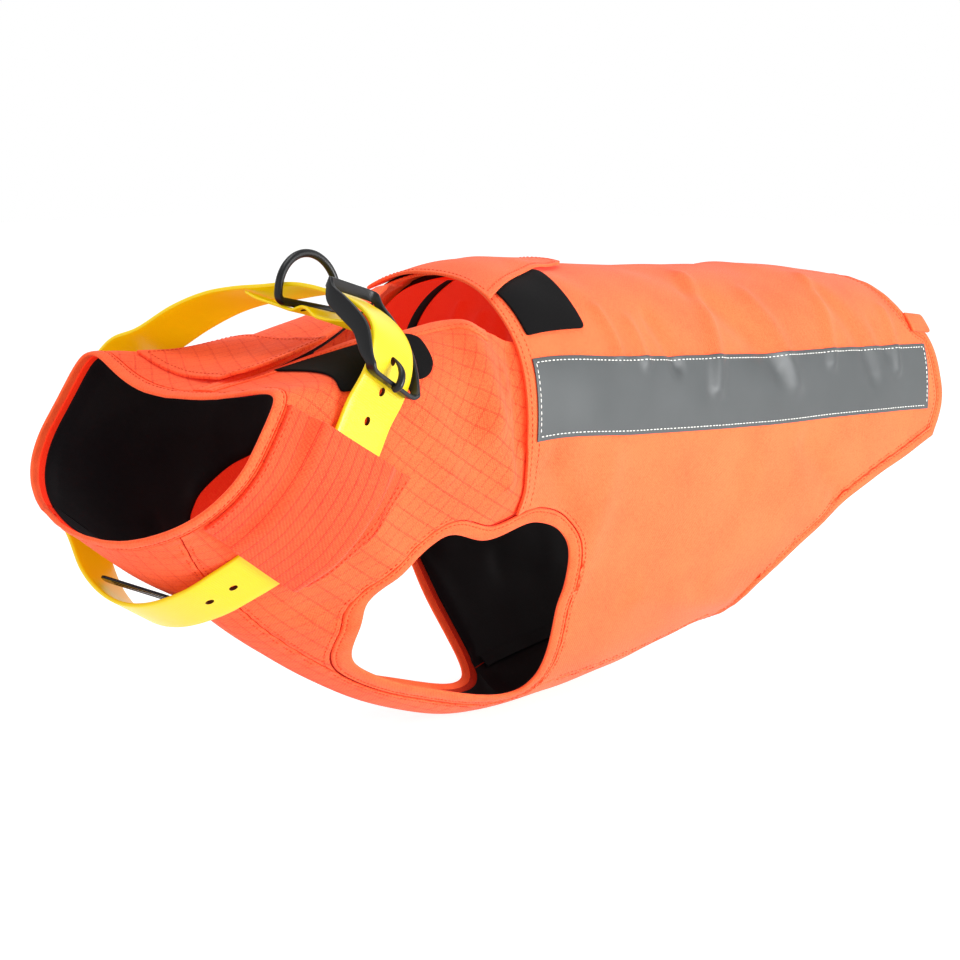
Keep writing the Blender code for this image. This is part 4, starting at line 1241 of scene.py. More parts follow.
@dataclass
class Panels:
    """Saddle, shoulders, chest and belly, with the allowances behind their seams."""

    cut: Cut
    wall: float = 0.0016
    edge: float = 0.0005
    strip_wall: float = 0.0006
    shoulder_gather: float = 0.00035
    flat_from: tuple[float, float] = (-0.05, 0.02)          # no gathers under the saddle
    rim_ends: tuple[float, float] = (0.0203, -0.0200)       # girths where the shoulders start
    allowance: tuple[float, float] = (0.0021, 0.0036)       # depth and half width of a strip
    crest: tuple[float, float] = (0.0021, 0.0030)
    binding: tuple[float, float] = (0.0049, 0.0048)
    saddle: Array = field(init=False)
    near: Array = field(init=False)
    far: Array = field(init=False)
    chest: Array = field(init=False)
    belly: Array = field(init=False)

    def __post_init__(self) -> None:
        """Lay out every panel on the body."""
        cut = self.cut
        self.saddle = cut.saddle()
        self.near = cut.shoulder(cut.near_top, self.rim_ends[0])
        self.far = cut.shoulder(cut.far_top, self.rim_ends[1])
        line = np.vstack([cut.chest, cut.between_legs[1:]])
        self.chest = cut.across_keel(line, 0.0, cut.seam)
        self.belly = cut.across_keel(cut.belly, cut.seam, 0.0, cut.panel_keel)

    def sew(self, name: str, places: Array, node: str, finish: Finish, height: Array) -> None:
        """Make one panel and log its cut.

        Args:
            name: Its name.
            places: Its places.
            node: The node that it shows.
            finish: What it is made of.
            height: How far out it lies.
        """
        points = on_surface(places, height)
        item = cloth_piece(name, points, places[::-1], self.wall, finish, Side.INWARDS, (node,), self.edge)
        declare_cloth(item, points)

    def build(self) -> None:
        """Sew the panels and their allowances."""
        whole = both_sides(self.saddle)
        self.sew("saddle_cloth", whole, "saddle", SADDLE_CLOTH, puckers(whole, ("top", "bottom")))
        for side, places, end in (("left", self.near, "rear"), ("right", mirrored(self.far), "front")):
            gathers = puckers(places, ("top", "bottom", end), self.shoulder_gather)
            gathers *= 1 - smooth((places[..., 0] - self.flat_from[0]) / self.flat_from[1])
            height = tucked(places) + gathers
            self.sew(f"shoulder_cloth_{side}", places, f"shoulder_{side}", RIPSTOP, height)
        for name, places, finish in (("chest", self.chest, RIPSTOP), ("belly", self.belly, SADDLE_CLOTH)):
            gathers = puckers(places, ("top", "bottom"))
            self.sew(f"{name}_cloth", places, f"{name}_panel", finish, gathers)
        self.allowances()

    def allowances(self) -> None:
        """Sew a strip behind every seam, most in painted seam shade, and bind the belly's over the lining.
        """
        cut, n, stop = self.cut, self.cut.fine, self.stop()
        hole = moved_aside(cut.hole_edge, -(cut.hem + cut.seam / 2), closed=True)
        below = np.roll(hole, -(stop + n), axis=0)[:len(hole) - 6 * n]
        crest = hole[stop - 6 * n:stop + n + 3]
        for side in ("left", "right"):
            turn = mirror(side)
            self.strip(f"binding_belly_{side}", cut.belly[2:-3] * turn, self.binding, LINING_CLOTH)
            self.strip(f"allowance_crest_{side}", crest * turn, self.crest, dips=turn[1])
        for name, line in (("chest", cut.chest), ("belly", cut.belly), ("hole", below)):
            for side in ("left", "right"):
                self.strip(f"allowance_{name}_{side}", line * mirror(side), self.allowance)
        self.strip("allowance_neck", self.rim(cut.panel_front - cut.seam / 2), self.allowance, SHADED_WRONG_SIDE)
        rear = moved_aside(cut.rear_edge, cut.hem + cut.seam / 2)
        self.strip("allowance_rear", round_keel(rear), self.allowance)

    def rim(self, x: float) -> Array:
        """Places round the neck at one station, from the left shoulder to the right."""
        girths = np.concatenate([self.near[0][:, 1], self.keel_girths(), -self.far[0][:0:-1, 1]])
        return np.stack([np.full_like(girths, x), girths], axis=-1)

    def stop(self) -> int:
        """Number of the leg hole's point where the saddle meets it."""
        return len(self.cut.over_leg) - self.cut.fine - 1

    def keel_girths(self) -> Array:
        """Girths across the keel at the rim, between the two chest seams."""
        last = self.near[0][-1, 1]
        return np.linspace(last, 2 * float(BODY.keel(self.cut.rim_x)) - last, 36)[1:-1]

    def strip(self, name: str, line: Array, section: tuple[float, float],
              finish: Finish = SEAM_SHADE_CLOTH, dips: float = 0.0) -> None:
        """One allowance: a strip centred on a seam line.

        Args:
            name: The strip's name.
            line: Places of the seam.
            section: Its depth behind the panels and half its width.
            finish: What it is made of.
            dips: 1 or -1 for the side on which it dips with the shoulder, or 0.
        """
        depth, half = section
        inner, outer = moved_aside(line, -half), moved_aside(line, half)
        places = np.stack([inner, (inner + outer) / 2, outer], axis=1)
        out = np.full(places.shape[:2], -depth - self.strip_wall / 2)
        if dips:
            column = 0 if dips > 0 else 2
            out[:, column] += tucked(places[:, column]) - 0.0003
            out[:, 1] += tucked(places[:, 1]) * 0.5
        points = BODY.place(places[..., 0], places[..., 1], out)
        item = add_piece(name, grid_mesh(name, points, places), finish)
        walled(item, self.strip_wall, Side.CENTRED)
        applied(item)


@dataclass
class Linings:
    """Black lining inside each panel: close at the seams, loose between them."""

    panels: Panels
    wall: float = 0.0010
    edge: float = 0.0014
    edge_belly: float = 0.0009
    loose: float = 0.0028
    inset: float = 0.995
    ease: float = 0.014             # from the lining's edge to its full depth
    sag: float = 0.0006
    facing_wall: float = 0.0006
    facing_gap: float = 0.0011
    unlined: tuple[float, float, float] = (0.70, 0.22, 0.42)

    def hang(self, name: str, places: Array, node: str, edge: float) -> None:
        """One lining, at its depths behind the panel.

        Args:
            name: Its name.
            places: Its places.
            node: The node that it shows.
            edge: How far its edge lies inside the panel's.
        """
        away = np.min([border_runs(places, side)[0] for side in ("top", "bottom", "front", "rear")], axis=0)
        depth = self.panels.wall + edge + (self.loose - edge) * smooth(away / self.ease)
        x, d = places[..., 0], places[..., 1]
        soft = self.sag * np.sin(61 * x + 19 * d) * np.sin(47 * d - 13 * x) * smooth(away / 0.02)
        height = -depth - np.abs(soft)
        height += np.where((np.abs(d) < 0.200) & (x < 0.020), tucked(places), 0.0)
        points = on_surface(places, height)
        item = cloth_piece(name, points, places[::-1], self.wall, LINING_CLOTH, Side.INWARDS, (node,))
        declare_cloth(item, points)

    def below_edge(self, places: Array) -> Array:
        """A shoulder's places without the unlined part along its upper edge.

        Args:
            places: The shoulder's places.

        Returns:
            Those of its lining.
        """
        start, run, share = self.unlined
        made = []
        for i, column in enumerate(places):
            first = share * float(smooth((i / (len(places) - 1) - start) / run))
            stops = np.linspace(first, 1.0, len(column)) * (len(column) - 1)
            made.append(resampled(column, np.arange(len(column)), stops))
        return np.array(made)

    def nearer_keel(self, places: Array) -> Array:
        """Places drawn in towards the keel, clear of the seams beside it."""
        keels = BODY.keel(places[..., 0])
        return np.stack([places[..., 0], keels + (places[..., 1] - keels) * self.inset], axis=-1)

    def face(self, name: str, places: Array) -> None:
        """Sew one facing over the lining, with the cloth's wrong side, in its painted shade, to the inside.

        Args:
            name: Its name.
            places: Its places.
        """
        points = on_surface(places, -(self.panels.wall + self.loose + self.wall + self.facing_gap))
        item = add_piece(name, grid_mesh(name, points, places[::-1]), SHADED_WRONG_SIDE)
        walled(item, self.facing_wall, Side.INWARDS)
        applied(item)
        declare_cloth(item, points)

    def facings(self) -> None:
        """Face the saddle's front end in two parts, and the shoulders before the leg holes."""
        for name, start, end in (("front", 0.012, 0.0512), ("rear", 0.0582, 0.175)):
            corners = ((start, -0.150), (end, -0.158), (end - 0.010, 0.158), (start, 0.150))
            self.face(f"yoke_facing_{name}", rounded_patch(corners, 30, 150))
        corners = ((-0.116, 0.170), (-0.064, 0.158), (-0.064, 0.205), (-0.128, 0.212))
        leg = rounded_patch(corners, 40, 40, (0.034, 0.004, 0.004, 0.020))
        self.face("leg_facing_left", leg)
        self.face("leg_facing_right", mirrored(leg))

    def build(self) -> None:
        """Hang the five linings and sew the facings over them."""
        panels = self.panels
        body = both_sides(panels.saddle[panels.cut.fine:])
        body[:, :, 0] += 0.010 * (1 - smooth((body[:, :, 0] - body[:1, :, 0]) / 0.03))
        self.hang("saddle_lining", body[:, ::2], "lining_saddle", self.edge)
        left, right = self.below_edge(panels.near), mirrored(self.below_edge(panels.far))
        for side, places in (("left", left), ("right", right)):
            self.hang(f"shoulder_lining_{side}", places[:, ::2], f"lining_shoulder_{side}", self.edge)
        self.hang("chest_lining", self.nearer_keel(panels.chest), "lining_chest", self.edge)
        self.facings()
        self.hang("belly_lining", self.nearer_keel(panels.belly), "lining_belly", self.edge_belly)


# --- hems ---
@dataclass
class Hems:
    """Double-turned hems of the neck, the leg holes and the rear edge."""

    panels: Panels
    proud: float = 0.0003
    wall: float = 0.0022
    cover: float = 0.0009           # thickness of a strip over a free edge
    swell: float = 0.00035
    fold_steps: int = 7
    sewn_at: float = 0.77           # share of its width where a hem is sewn down
    gather: tuple[float, float, float] = (0.0131, 0.083, 0.19)      # a gather, its drift and swell
    gather_rise: float = 0.00028

    def section(self, width: float) -> tuple[Array, Array]:
        """A hem's section: share of its width from the folded edge, and height.

        Args:
            width: Its width.

        Returns:
            The shares and the heights.
        """
        radius = self.wall / 2
        turn = np.linspace(math.pi / 2, 3 * math.pi / 2, self.fold_steps)
        across = [*(radius * (1 + np.cos(turn)))]
        height = [*(self.proud - radius + radius * np.sin(turn))]
        low = self.proud - self.wall
        back = ((0.30, 0.0), (0.70, 0.0), (0.95, 0.0001), (0.99, 0.0005))
        across += [share * width for share, _up in back]
        height += [low + up for _share, up in back]
        top = ((0.99, -0.0006), (0.95, -0.0001), (0.86, 0.00012), (0.80, -0.00016), (0.74, -0.00016),
               (0.68, 0.0002), (0.50, self.swell), (0.34, self.swell * 0.8))
        across += [share * width for share, _up in top]
        height += [self.proud + up for _share, up in top]
        return np.array(across) / width, np.array(height)

    def ring(self, name: str, edge: Array, seam: Array, node: str) -> None:
        """One hem that closes on itself.

        Args:
            name: The piece's name.
            edge: Places of the folded edge.
            seam: Places of the sewn side.
            node: The solid that it stands for.
        """
        share, height = self.section(self.panels.cut.hem)
        places = edge[:, None] * (1 - share[:, None]) + seam[:, None] * share[:, None]
        run = lengths_along(seam)
        turn = 2 * math.pi * run
        wave = (np.sin(turn / self.gather[0] + 1.9 * np.sin(turn / self.gather[1]))
                * (0.6 + 0.4 * np.sin(turn / self.gather[2])))
        rise = self.gather_rise * wave[:, None] * np.sin(np.clip(share, 0, 1) * math.pi)[None]
        fade = np.clip(np.minimum(np.arange(len(run)), len(run) - 1 - np.arange(len(run))) / 8, 0, 1)
        points = BODY.place(places[..., 0], places[..., 1], height[None] + rise * fade[:, None])
        cut = np.stack(np.meshgrid(run, lengths_along(points[0]), indexing="ij"), axis=-1)
        swept_piece(name, points, True, HEM_CLOTH, (node,), cut=cut)

    def build(self, sewing: Stitches) -> None:
        """Fold every hem and sew it down.

        Args:
            sewing: The thread that it is sewn with.
        """
        cut, height, share = self.panels.cut, self.proud - 0.0001, self.sewn_at
        rim = self.panels.rim(cut.rim_x)
        lines = [("neck_rim", rim, rim + np.array([cut.hem, 0.0]), "neck_hem")]
        for side in ("left", "right"):
            turn = mirror(side)
            lines.append((f"leg_rim_{side}", cut.hole_edge * turn, cut.hole_hem * turn, f"leg_hem_{side}"))
        lines.append(("rear_rim", round_keel(cut.rear_edge), round_keel(cut.rear_hem), "rear_hem"))
        for name, edge, hem, node in lines:
            self.ring(name, edge, hem, node)
            sewing.row(edge * (1 - share) + hem * share, height, ring=True)
        LOG.info("hems are %.0f mm wide and %.1f mm thick", cut.hem / MM, self.wall / MM)

    def turned(self, name: str, line: Array, inwards: float, width: float) -> None:
        """A folded strip over the free edge of a panel.

        Args:
            name: The piece's name.
            line: Places of the panel's edge.
            inwards: 1 where the panel lies to the left of the line, else -1.
            width: How far the strip reaches over the panel.
        """
        w, c, wall = width, self.cover, self.panels.wall
        rows = ((w, 0.00012), (w - 0.0002, c * 0.75), (w - 0.0012, c + 0.0001), (w / 2, c + 0.0002),
                (0.0008, c + 0.0001), (-0.0003, c * 0.75), (-0.0009, 0.0), (-0.0011, -wall / 2),
                (-0.0009, -wall), (-0.0003, -wall - c * 0.6), (0.0010, -wall - c * 0.75),
                (w - 0.0010, -wall - c * 0.75), (w, -wall - c * 0.4), (w - 0.0002, -wall - 0.00015),
                (0.0006, -wall - 0.00015), (-0.0001, -wall / 2), (0.0006, 0.00015), (w / 2, 0.00014))
        ways = moved_aside(line, inwards) - line
        reach = np.array([row[0] for row in rows])
        places = line[:, None] + ways[:, None] * reach[:, None]
        points = BODY.place(places[..., 0], places[..., 1], np.array([row[1] for row in rows]))
        swept_piece(name, points, False, HEM_CLOTH)


# --- pieces laid on the panels ---
@dataclass
class Overlays:
    """Tapes, loop patches, the flaps and the tabs."""

    belt: "Belt"
    hems: Hems
    layer: float = 0.0005
    sewn_over: float = 0.0001       # how far a stitch's middle lies over its cloth
    hem_row: float = 0.0045         # from an edge to the stitches that hold it
    tape_wall: float = 0.0007
    patch_wall: float = 0.0012
    flap_wall: float = 0.0020
    soft: float = 0.0006            # radius of a flap's edges
    flap_beside: float = 0.008
    flap_ease: float = 0.012
    tab_over: tuple[float, float] = (-0.020, 0.030)
    tab_roll: tuple[float, float, float] = (0.012, 0.018, 0.0030)
    tape_rows: Rows = (
        ("front",       0.0005, 0.0985),
        ("ribs",        0.110,  0.1040),
        ("waist",       0.245,  0.1065),
        ("loin",        0.372,  0.1080),
        ("rear",        0.462,  0.1035),
    )
    tape_width: float = 0.050
    back_patch: Rows = ((0.000, 0.030), (0.066, 0.030), (0.064, 0.084), (0.003, 0.084))
    rear_tab: Rows = ((0.450, 0.079), (0.475, 0.079), (0.476, 0.0945), (0.450, 0.0945))
    neck_patch: Rows = ((-0.196, 0.030), (-0.102, 0.054), (-0.102, 0.090), (-0.196, 0.088))
    dorsal_flap: Rows = ((-0.016, -0.054), (0.106, -0.018), (0.106, 0.018), (-0.016, 0.054))
    nape_tab: Rows = ((-0.221, -0.066), (-0.150, -0.060), (-0.150, 0.030), (-0.221, 0.030))
    collar_flap: dict[str, Rows] = field(default_factory=lambda: {
        "left": ((-0.2340, 0.092), (-0.108, 0.149), (-0.125, 0.225), (-0.2340, 0.174)),
        "right": ((-0.2200, 0.092), (-0.108, 0.149), (-0.125, 0.225), (-0.2280, 0.174))})

    def lay(self, name: str, places: Array, height: Array | float, wall: float, finish: Finish,
            node: str, edge: float, rests_on: tuple[str, ...] = ()) -> None:
        """Lay one piece on the panels, its wall outwards, and declare its cut.

        Args:
            name: Its name.
            places: Its places.
            height: How far over the panels it lies.
            wall: Its thickness.
            finish: What it is made of.
            node: The node that it shows.
            edge: Radius of its softened edges.
            rests_on: What it lies on, or nothing for one whose cut isn't logged.
        """
        points = on_surface(places, height)
        item = cloth_piece(name, points, places[::-1], wall, finish, Side.OUTWARDS, (node,), edge)
        if rests_on:
            declare_cloth(item, points)

    def over_belt(self, places: Array) -> Array:
        """Height of a collar flap: on the neck's side, and clear over the belt.

        Args:
            places: Its places.

        Returns:
            The heights.
        """
        beside, height = self.belt.outer_face(BODY.place(places[..., 0], places[..., 1]))
        near = 1 - smooth((np.abs(beside) - self.belt.width / 2 - self.flap_beside) / self.flap_ease)
        return self.layer + near * np.maximum(height + self.layer, 0.0)

    def rolled(self, places: Array) -> Array:
        """Height of the nape tab: sewn down, over the loop patch, its edge rolled up.

        Args:
            places: Its places.

        Returns:
            The heights.
        """
        d = places[..., 1]
        over = (self.layer + self.patch_wall) * smooth((d - self.tab_over[0]) / self.tab_over[1])
        roll = self.tab_roll
        return self.layer + over + roll[2] * smooth((d - roll[0]) / roll[1])

    def inside(self, places: Array, inset: float, edges: tuple[str, ...]) -> list[Array]:
        """Rows of places a little inside the named edges of a patch.

        Args:
            places: The patch's places.
            inset: How far inside.
            edges: Which edges.

        Returns:
            One row for each edge.
        """
        u = inset / np.linalg.norm(places[-1, 0] - places[0, 0])
        v = inset / np.linalg.norm(places[0, -1] - places[0, 0])
        sides = {"top": (places[:, 0], places[:, -1], v, u), "bottom": (places[:, -1], places[:, 0], v, u),
                 "front": (places[0], places[-1], u, v), "rear": (places[-1], places[0], u, v)}
        made = []
        for edge in edges:
            line, opposite, share, ends = sides[edge]
            row = line + (opposite - line) * share
            stops = np.linspace(ends, 1 - ends, len(row)) * (len(row) - 1)
            made.append(resampled(row, np.arange(len(row)), stops))
        return made

    def build(self, thread: Stitches, white: Stitches) -> None:
        """Lay and sew every piece.

        Args:
            thread: Orange thread.
            white: White thread, for the tapes.
        """
        upper = spline(self.tape_rows, 220)
        lower = upper + np.array([0.0, self.tape_width])
        tape = patch(upper, lower, line_between(upper[0], lower[0], 28),
                     line_between(upper[-1], lower[-1], 28))
        back = rounded_patch(self.back_patch, 30, 28, (0.003, 0.006, 0.004, 0.003))
        round_edge = ("top", "bottom", "front", "rear")
        for side, turn in (("left", np.array), ("right", mirrored)):
            flip, flap = mirror(side), rounded_patch(self.collar_flap[side], 84, 56)
            self.lay(f"reflective_tape_{side}", turn(tape), self.layer, self.tape_wall, REFLECTIVE,
                     f"tape_{side}", 0.0002, ("saddle_cloth",))
            for row in self.inside(tape, 0.0027, round_edge):
                white.row(row * flip, self.layer + self.tape_wall, 0.0036, 0.0027, 0.00036)
            self.lay(f"loop_patch_{side}", turn(back), self.layer, self.patch_wall, LOOP,
                     f"back_patch_{side}", 0.0003, ("saddle_cloth",))
            self.lay(f"collar_fold_{side}", turn(flap), self.over_belt(turn(flap)), self.flap_wall, RIBBED,
                     f"collar_flap_{side}", self.soft, (f"shoulder_cloth_{side}", "neck_belt"))
            for row in self.inside(flap, 0.0065, ("rear",)) + self.inside(flap, 0.0025, ("front", "rear")):
                thread.row(row * flip, self.over_belt(row * flip) + self.flap_wall + self.sewn_over)
        neck = rounded_patch(self.neck_patch, 48, 30, (0.0, 0.012, 0.016, 0.004))
        self.lay("loop_patch_neck", neck, self.layer, self.patch_wall, LOOP, "neck_patch", 0.0003,
                 ("shoulder_cloth_left",))
        tab = rounded_patch(self.nape_tab, 30, 56, (0.0, 0.0, 0.009, 0.009))
        self.lay("nape_strap", tab, self.rolled(tab), self.flap_wall, RIPSTOP, "nape_tab", self.soft,
                 ("shoulder_cloth_right", "loop_patch_neck"))
        for row in self.inside(tab, self.hem_row, round_edge):
            thread.row(row, self.rolled(row) + self.flap_wall + self.sewn_over)
        over = 2 * self.layer + self.patch_wall
        dorsal = rounded_patch(self.dorsal_flap, 70, 48, (0.004, 0.004, 0.004, 0.004))
        self.lay("dorsal_cover", dorsal, over, self.flap_wall, SADDLE_CLOTH, "dorsal_flap", self.soft,
                 ("saddle_cloth", "loop_patch_left", "loop_patch_right"))
        for row in self.inside(dorsal, self.hem_row, round_edge):
            thread.row(row, over + self.flap_wall + self.sewn_over)
        rear = rounded_patch(self.rear_tab, 20, 14, (0.0, 0.003, 0.003, 0.0))
        self.lay("rear_tag", rear, self.hems.proud + self.layer, self.flap_wall, HEM_CLOTH, "rear_tab",
                 self.soft)


# --- belt and metal ---
@dataclass
class Belt:
    """The coated belt round the neck, its inner layer, and the metal on it."""

    width: float = 0.038
    wall: float = 0.0024
    plane: tuple[float, float, float] = (-0.1575, 30.0, 8.8)
    stops: int = 336
    path: Rows = (
        # name          across   up      tilt  turn
        ("top",         0.0200,  0.0270, 14.0, 8.0),
        ("ring",        0.0000,  0.0300, 12.0, 8.0),
        ("top_near",   -0.0150,  0.0286, 13.0, 8.0),
        ("frame_top",  -0.0300,  0.0245, 16.0, 8.0),
        ("frame",      -0.0440,  0.0192, 20.0, 8.0),
        ("frame_turn", -0.0560,  0.0120, 24.0, 7.0),
        ("frame_side", -0.0650,  0.0020, 27.0, 6.0),
        ("frame_low",  -0.0690, -0.0110, 29.0, 4.0),
        ("shoulder",   -0.0684, -0.0260, 30.0, 3.0),
        ("flap_top",   -0.0645, -0.0420, 30.0, 2.0),
        ("flap_high",  -0.0628, -0.0590, 30.0, 1.5),
        ("flap_mid",   -0.0610, -0.0795, 30.0, 1.5),
        ("flap_low",   -0.0545, -0.1000, 30.0, 1.5),
        ("flap_end",   -0.0435, -0.1190, 30.0, 1.5),
        ("throat_near", -0.0275, -0.1340, 30.0, 2.0),
        ("throat_side", -0.0110, -0.1475, 30.0, 4.0),
        ("sag_near",    0.0060, -0.1600, 30.0, 7.0),
        ("sag",         0.0270, -0.1692, 30.0, 8.8),
        ("sag_low",     0.0460, -0.1710, 30.0, 8.8),
        ("sag_far",     0.0640, -0.1660, 30.0, 8.8),
        ("far_under",   0.0810, -0.1555, 30.0, 8.8),
        ("far_low",     0.0960, -0.1400, 30.0, 8.8),
        ("far_flap",    0.1110, -0.1230, 30.0, 4.0),
        ("far_side",    0.1205, -0.1020, 30.0, 1.0),
        ("far_mid",     0.1262, -0.0800, 30.0, 0.0),
        ("far_high",    0.1270, -0.0580, 30.0, 0.0),
        ("far_top",     0.1235, -0.0360, 29.0, 1.0),
        ("far_corner",  0.1155, -0.0175, 27.0, 4.0),
        ("far_crown",   0.0990, -0.0080, 25.0, 8.0),
        ("far_rise",    0.0800,  0.0070, 24.0, 8.8),
        ("far_arch",    0.0600,  0.0180, 20.0, 8.8),
        ("arch",        0.0400,  0.0240, 16.0, 8.0),
    )
    fold_wall: float = 0.0018
    fold: Rows = (
        # name      along    out
        ("tip",    -0.0120, -0.0028),
        ("pinch",  -0.0020, -0.0075),
        ("ring",    0.0190, -0.0144),
        ("wave",    0.0330, -0.0120),
        ("hang",    0.0480, -0.0155),
        ("end",     0.0700, -0.0120),
        ("tuck",    0.0960, -0.0028),
    )
    hole: tuple[float, float] = (0.0026, 0.0021)
    holes_at: tuple[float, ...] = (0.1070, 0.1250, 0.1430, 0.2640, 0.2800)
    fold_hole: tuple[float, float] = (0.0030, 0.0022)
    fold_holes: Rows = ((0.0015, -0.0125), (0.0150, -0.0125), (0.0300, -0.0125), (0.0505, -0.0090))
    corner: float = 0.0009
    middles: Array = field(init=False)
    runs: Array = field(init=False)
    widths: Array = field(init=False)
    outs: Array = field(init=False)
    step: float = field(init=False)

    @staticmethod
    def direction(tilt: float, turn: float) -> Array:
        """The direction across the belt for a tilt and a turn in degrees.

        Args:
            tilt: How far it leans forward.
            turn: How far it turns aside.

        Returns:
            A unit vector.
        """
        tilt, turn = math.radians(tilt), math.radians(turn)
        level = math.cos(turn)
        return np.array([math.cos(tilt) * level, math.sin(turn), -math.sin(tilt) * level])

    def __post_init__(self) -> None:
        """Lay the belt's line out in its plane."""
        reach, tilt, turn = self.plane
        normal = self.direction(tilt, turn)
        level = np.cross((0.0, 0.0, 1.0), normal)
        level /= np.linalg.norm(level)
        self.axes = (level, np.cross(normal, level), normal)
        line = spline(self.path, self.stops, closed=True)[:-1]
        self.middles = normal * reach + line[:, :1] * level + line[:, 1:2] * self.axes[1] - CARRY
        self.step = float(np.linalg.norm(np.roll(self.middles, -1, axis=0) - self.middles, axis=1).mean())
        runs = np.roll(self.middles, -3, axis=0) - np.roll(self.middles, 3, axis=0)
        self.runs = runs / np.linalg.norm(runs, axis=1)[:, None]
        widths = np.array([self.direction(*row[2:]) for row in line])
        widths -= self.runs * (widths * self.runs).sum(axis=1)[:, None]
        self.widths = widths / np.linalg.norm(widths, axis=1)[:, None]
        self.outs = np.cross(self.runs, self.widths)

    def place(self, across: float, up: float, beside: float) -> Array:
        """A place by the belt's plane and beside it."""
        level, rise, normal = self.axes
        return level * across + rise * up + normal * (self.plane[0] + beside) - CARRY

    def frames(self, along: Array | float) -> list[Array]:
        """Middles, runs, widths and outward directions at lengths from the top.

        Args:
            along: The lengths.

        Returns:
            The four rows.
        """
        stop = np.atleast_1d(along) / self.step
        first = np.floor(stop).astype(int)
        share = (stop - first)[:, None]
        return [rows[first % self.stops] * (1 - share) + rows[(first + 1) % self.stops] * share
                for rows in (self.middles, self.runs, self.widths, self.outs)]

    def outer_face(self, points: Array) -> tuple[Array, Array]:
        """How far places lie beside the belt's middle, and below its outer face.

        Args:
            points: Places in space.

        Returns:
            Both distances.
        """
        flat_points = points.reshape(-1, 3)
        beside, height = np.empty(len(flat_points)), np.empty(len(flat_points))
        for i, place in enumerate(flat_points):
            away = place - self.middles
            across = (away * self.widths).sum(axis=1)
            nearest = int(np.argmin(np.linalg.norm(away - self.widths * across[:, None], axis=1)))
            beside[i] = across[nearest]
            height[i] = self.wall / 2 - away[nearest] @ self.outs[nearest]
        return beside.reshape(points.shape[:-1]), height.reshape(points.shape[:-1])

    def band(self, along: Array, out: Array, half: float, wall: float) -> Array:
        """Sections of a band with rounded edges that runs with the belt.

        Args:
            along: Lengths from the top.
            out: Height over the belt.
            half: Half its width.
            wall: Its thickness.

        Returns:
            The sections.
        """
        middle, _run, width, outward = self.frames(along)
        radius = min(self.corner, wall * 0.45)
        section = []
        for s, t, start in ((1, 1, 0), (-1, 1, 90), (-1, -1, 180), (1, -1, 270)):
            for angle in np.radians(np.linspace(start, start + 90, 4)):
                section.append((s * (half - radius) + radius * math.cos(angle),
                                t * (wall / 2 - radius) + radius * math.sin(angle)))
            if t == 1 and s == 1 or t == -1 and s == -1:
                far = np.linspace(s * (half - radius), -s * (half - radius), 9)[1:-1]
                section += [(place, t * wall / 2) for place in far]
        section = np.array(section)
        return (middle[:, None] + width[:, None] * section[None, :, :1]
                + outward[:, None] * (out[:, None, None] + section[None, :, 1:]))

    def punch(self, item: bpy.types.Object, holes: Rows) -> None:
        """Punch oval holes through a band.

        Args:
            item: The band.
            holes: Length from the top, place across, height, and the two radii of each.
        """
        cutter = bmesh.new()
        for along, across, out, long, wide in holes:
            middle, run, width, outward = (rows[0] for rows in self.frames(along))
            axes = Matrix((run * long, width * wide, outward)).transposed().to_4x4()
            at = Matrix.Translation(Vector(middle + width * across + outward * out)) @ axes
            bmesh.ops.create_cone(cutter, cap_ends=True, segments=20, radius1=1.0, radius2=1.0,
                                  depth=0.012, matrix=at)
        mesh = bpy.data.meshes.new("punch")
        bmesh.ops.recalc_face_normals(cutter, faces=cutter.faces)
        cutter.to_mesh(mesh)
        cutter.free()
        tool = in_scene("punch", mesh)
        # The cut faces take this material: the web's edge in painted shade.
        mesh.materials.append(PUNCHED_EDGE_SHADE.material())
        cut = item.modifiers.new("holes", "BOOLEAN")
        cut.operation, cut.solver, cut.object = "DIFFERENCE", "EXACT", tool
        cut.material_mode = "TRANSFER"
        applied(item, 35.0)
        bpy.data.objects.remove(tool, do_unlink=True)
        bpy.data.meshes.remove(mesh)

    def build(self) -> None:
        """Make the belt and its inner layer, with their holes."""
        along = np.arange(self.stops) * self.step
        sections = self.band(along, np.zeros(self.stops), self.width / 2, self.wall)
        item = swept_piece("neck_belt", sections, True, WEBBING, ("belt",))
        self.punch(item, tuple((at, 0.0, 0.0, *self.hole) for at in self.holes_at))
        curve = spline(self.fold, 150)
        sections = self.band(curve[:, 0], curve[:, 1], self.width / 2 - 0.0005, self.fold_wall)
        item = swept_piece("belt_end", sections, False, WEBBING, ("belt_fold",))
        self.punch(item, tuple((at, across, float(np.interp(at, curve[:, 0], curve[:, 1])), *self.fold_hole)
                               for at, across in self.fold_holes))


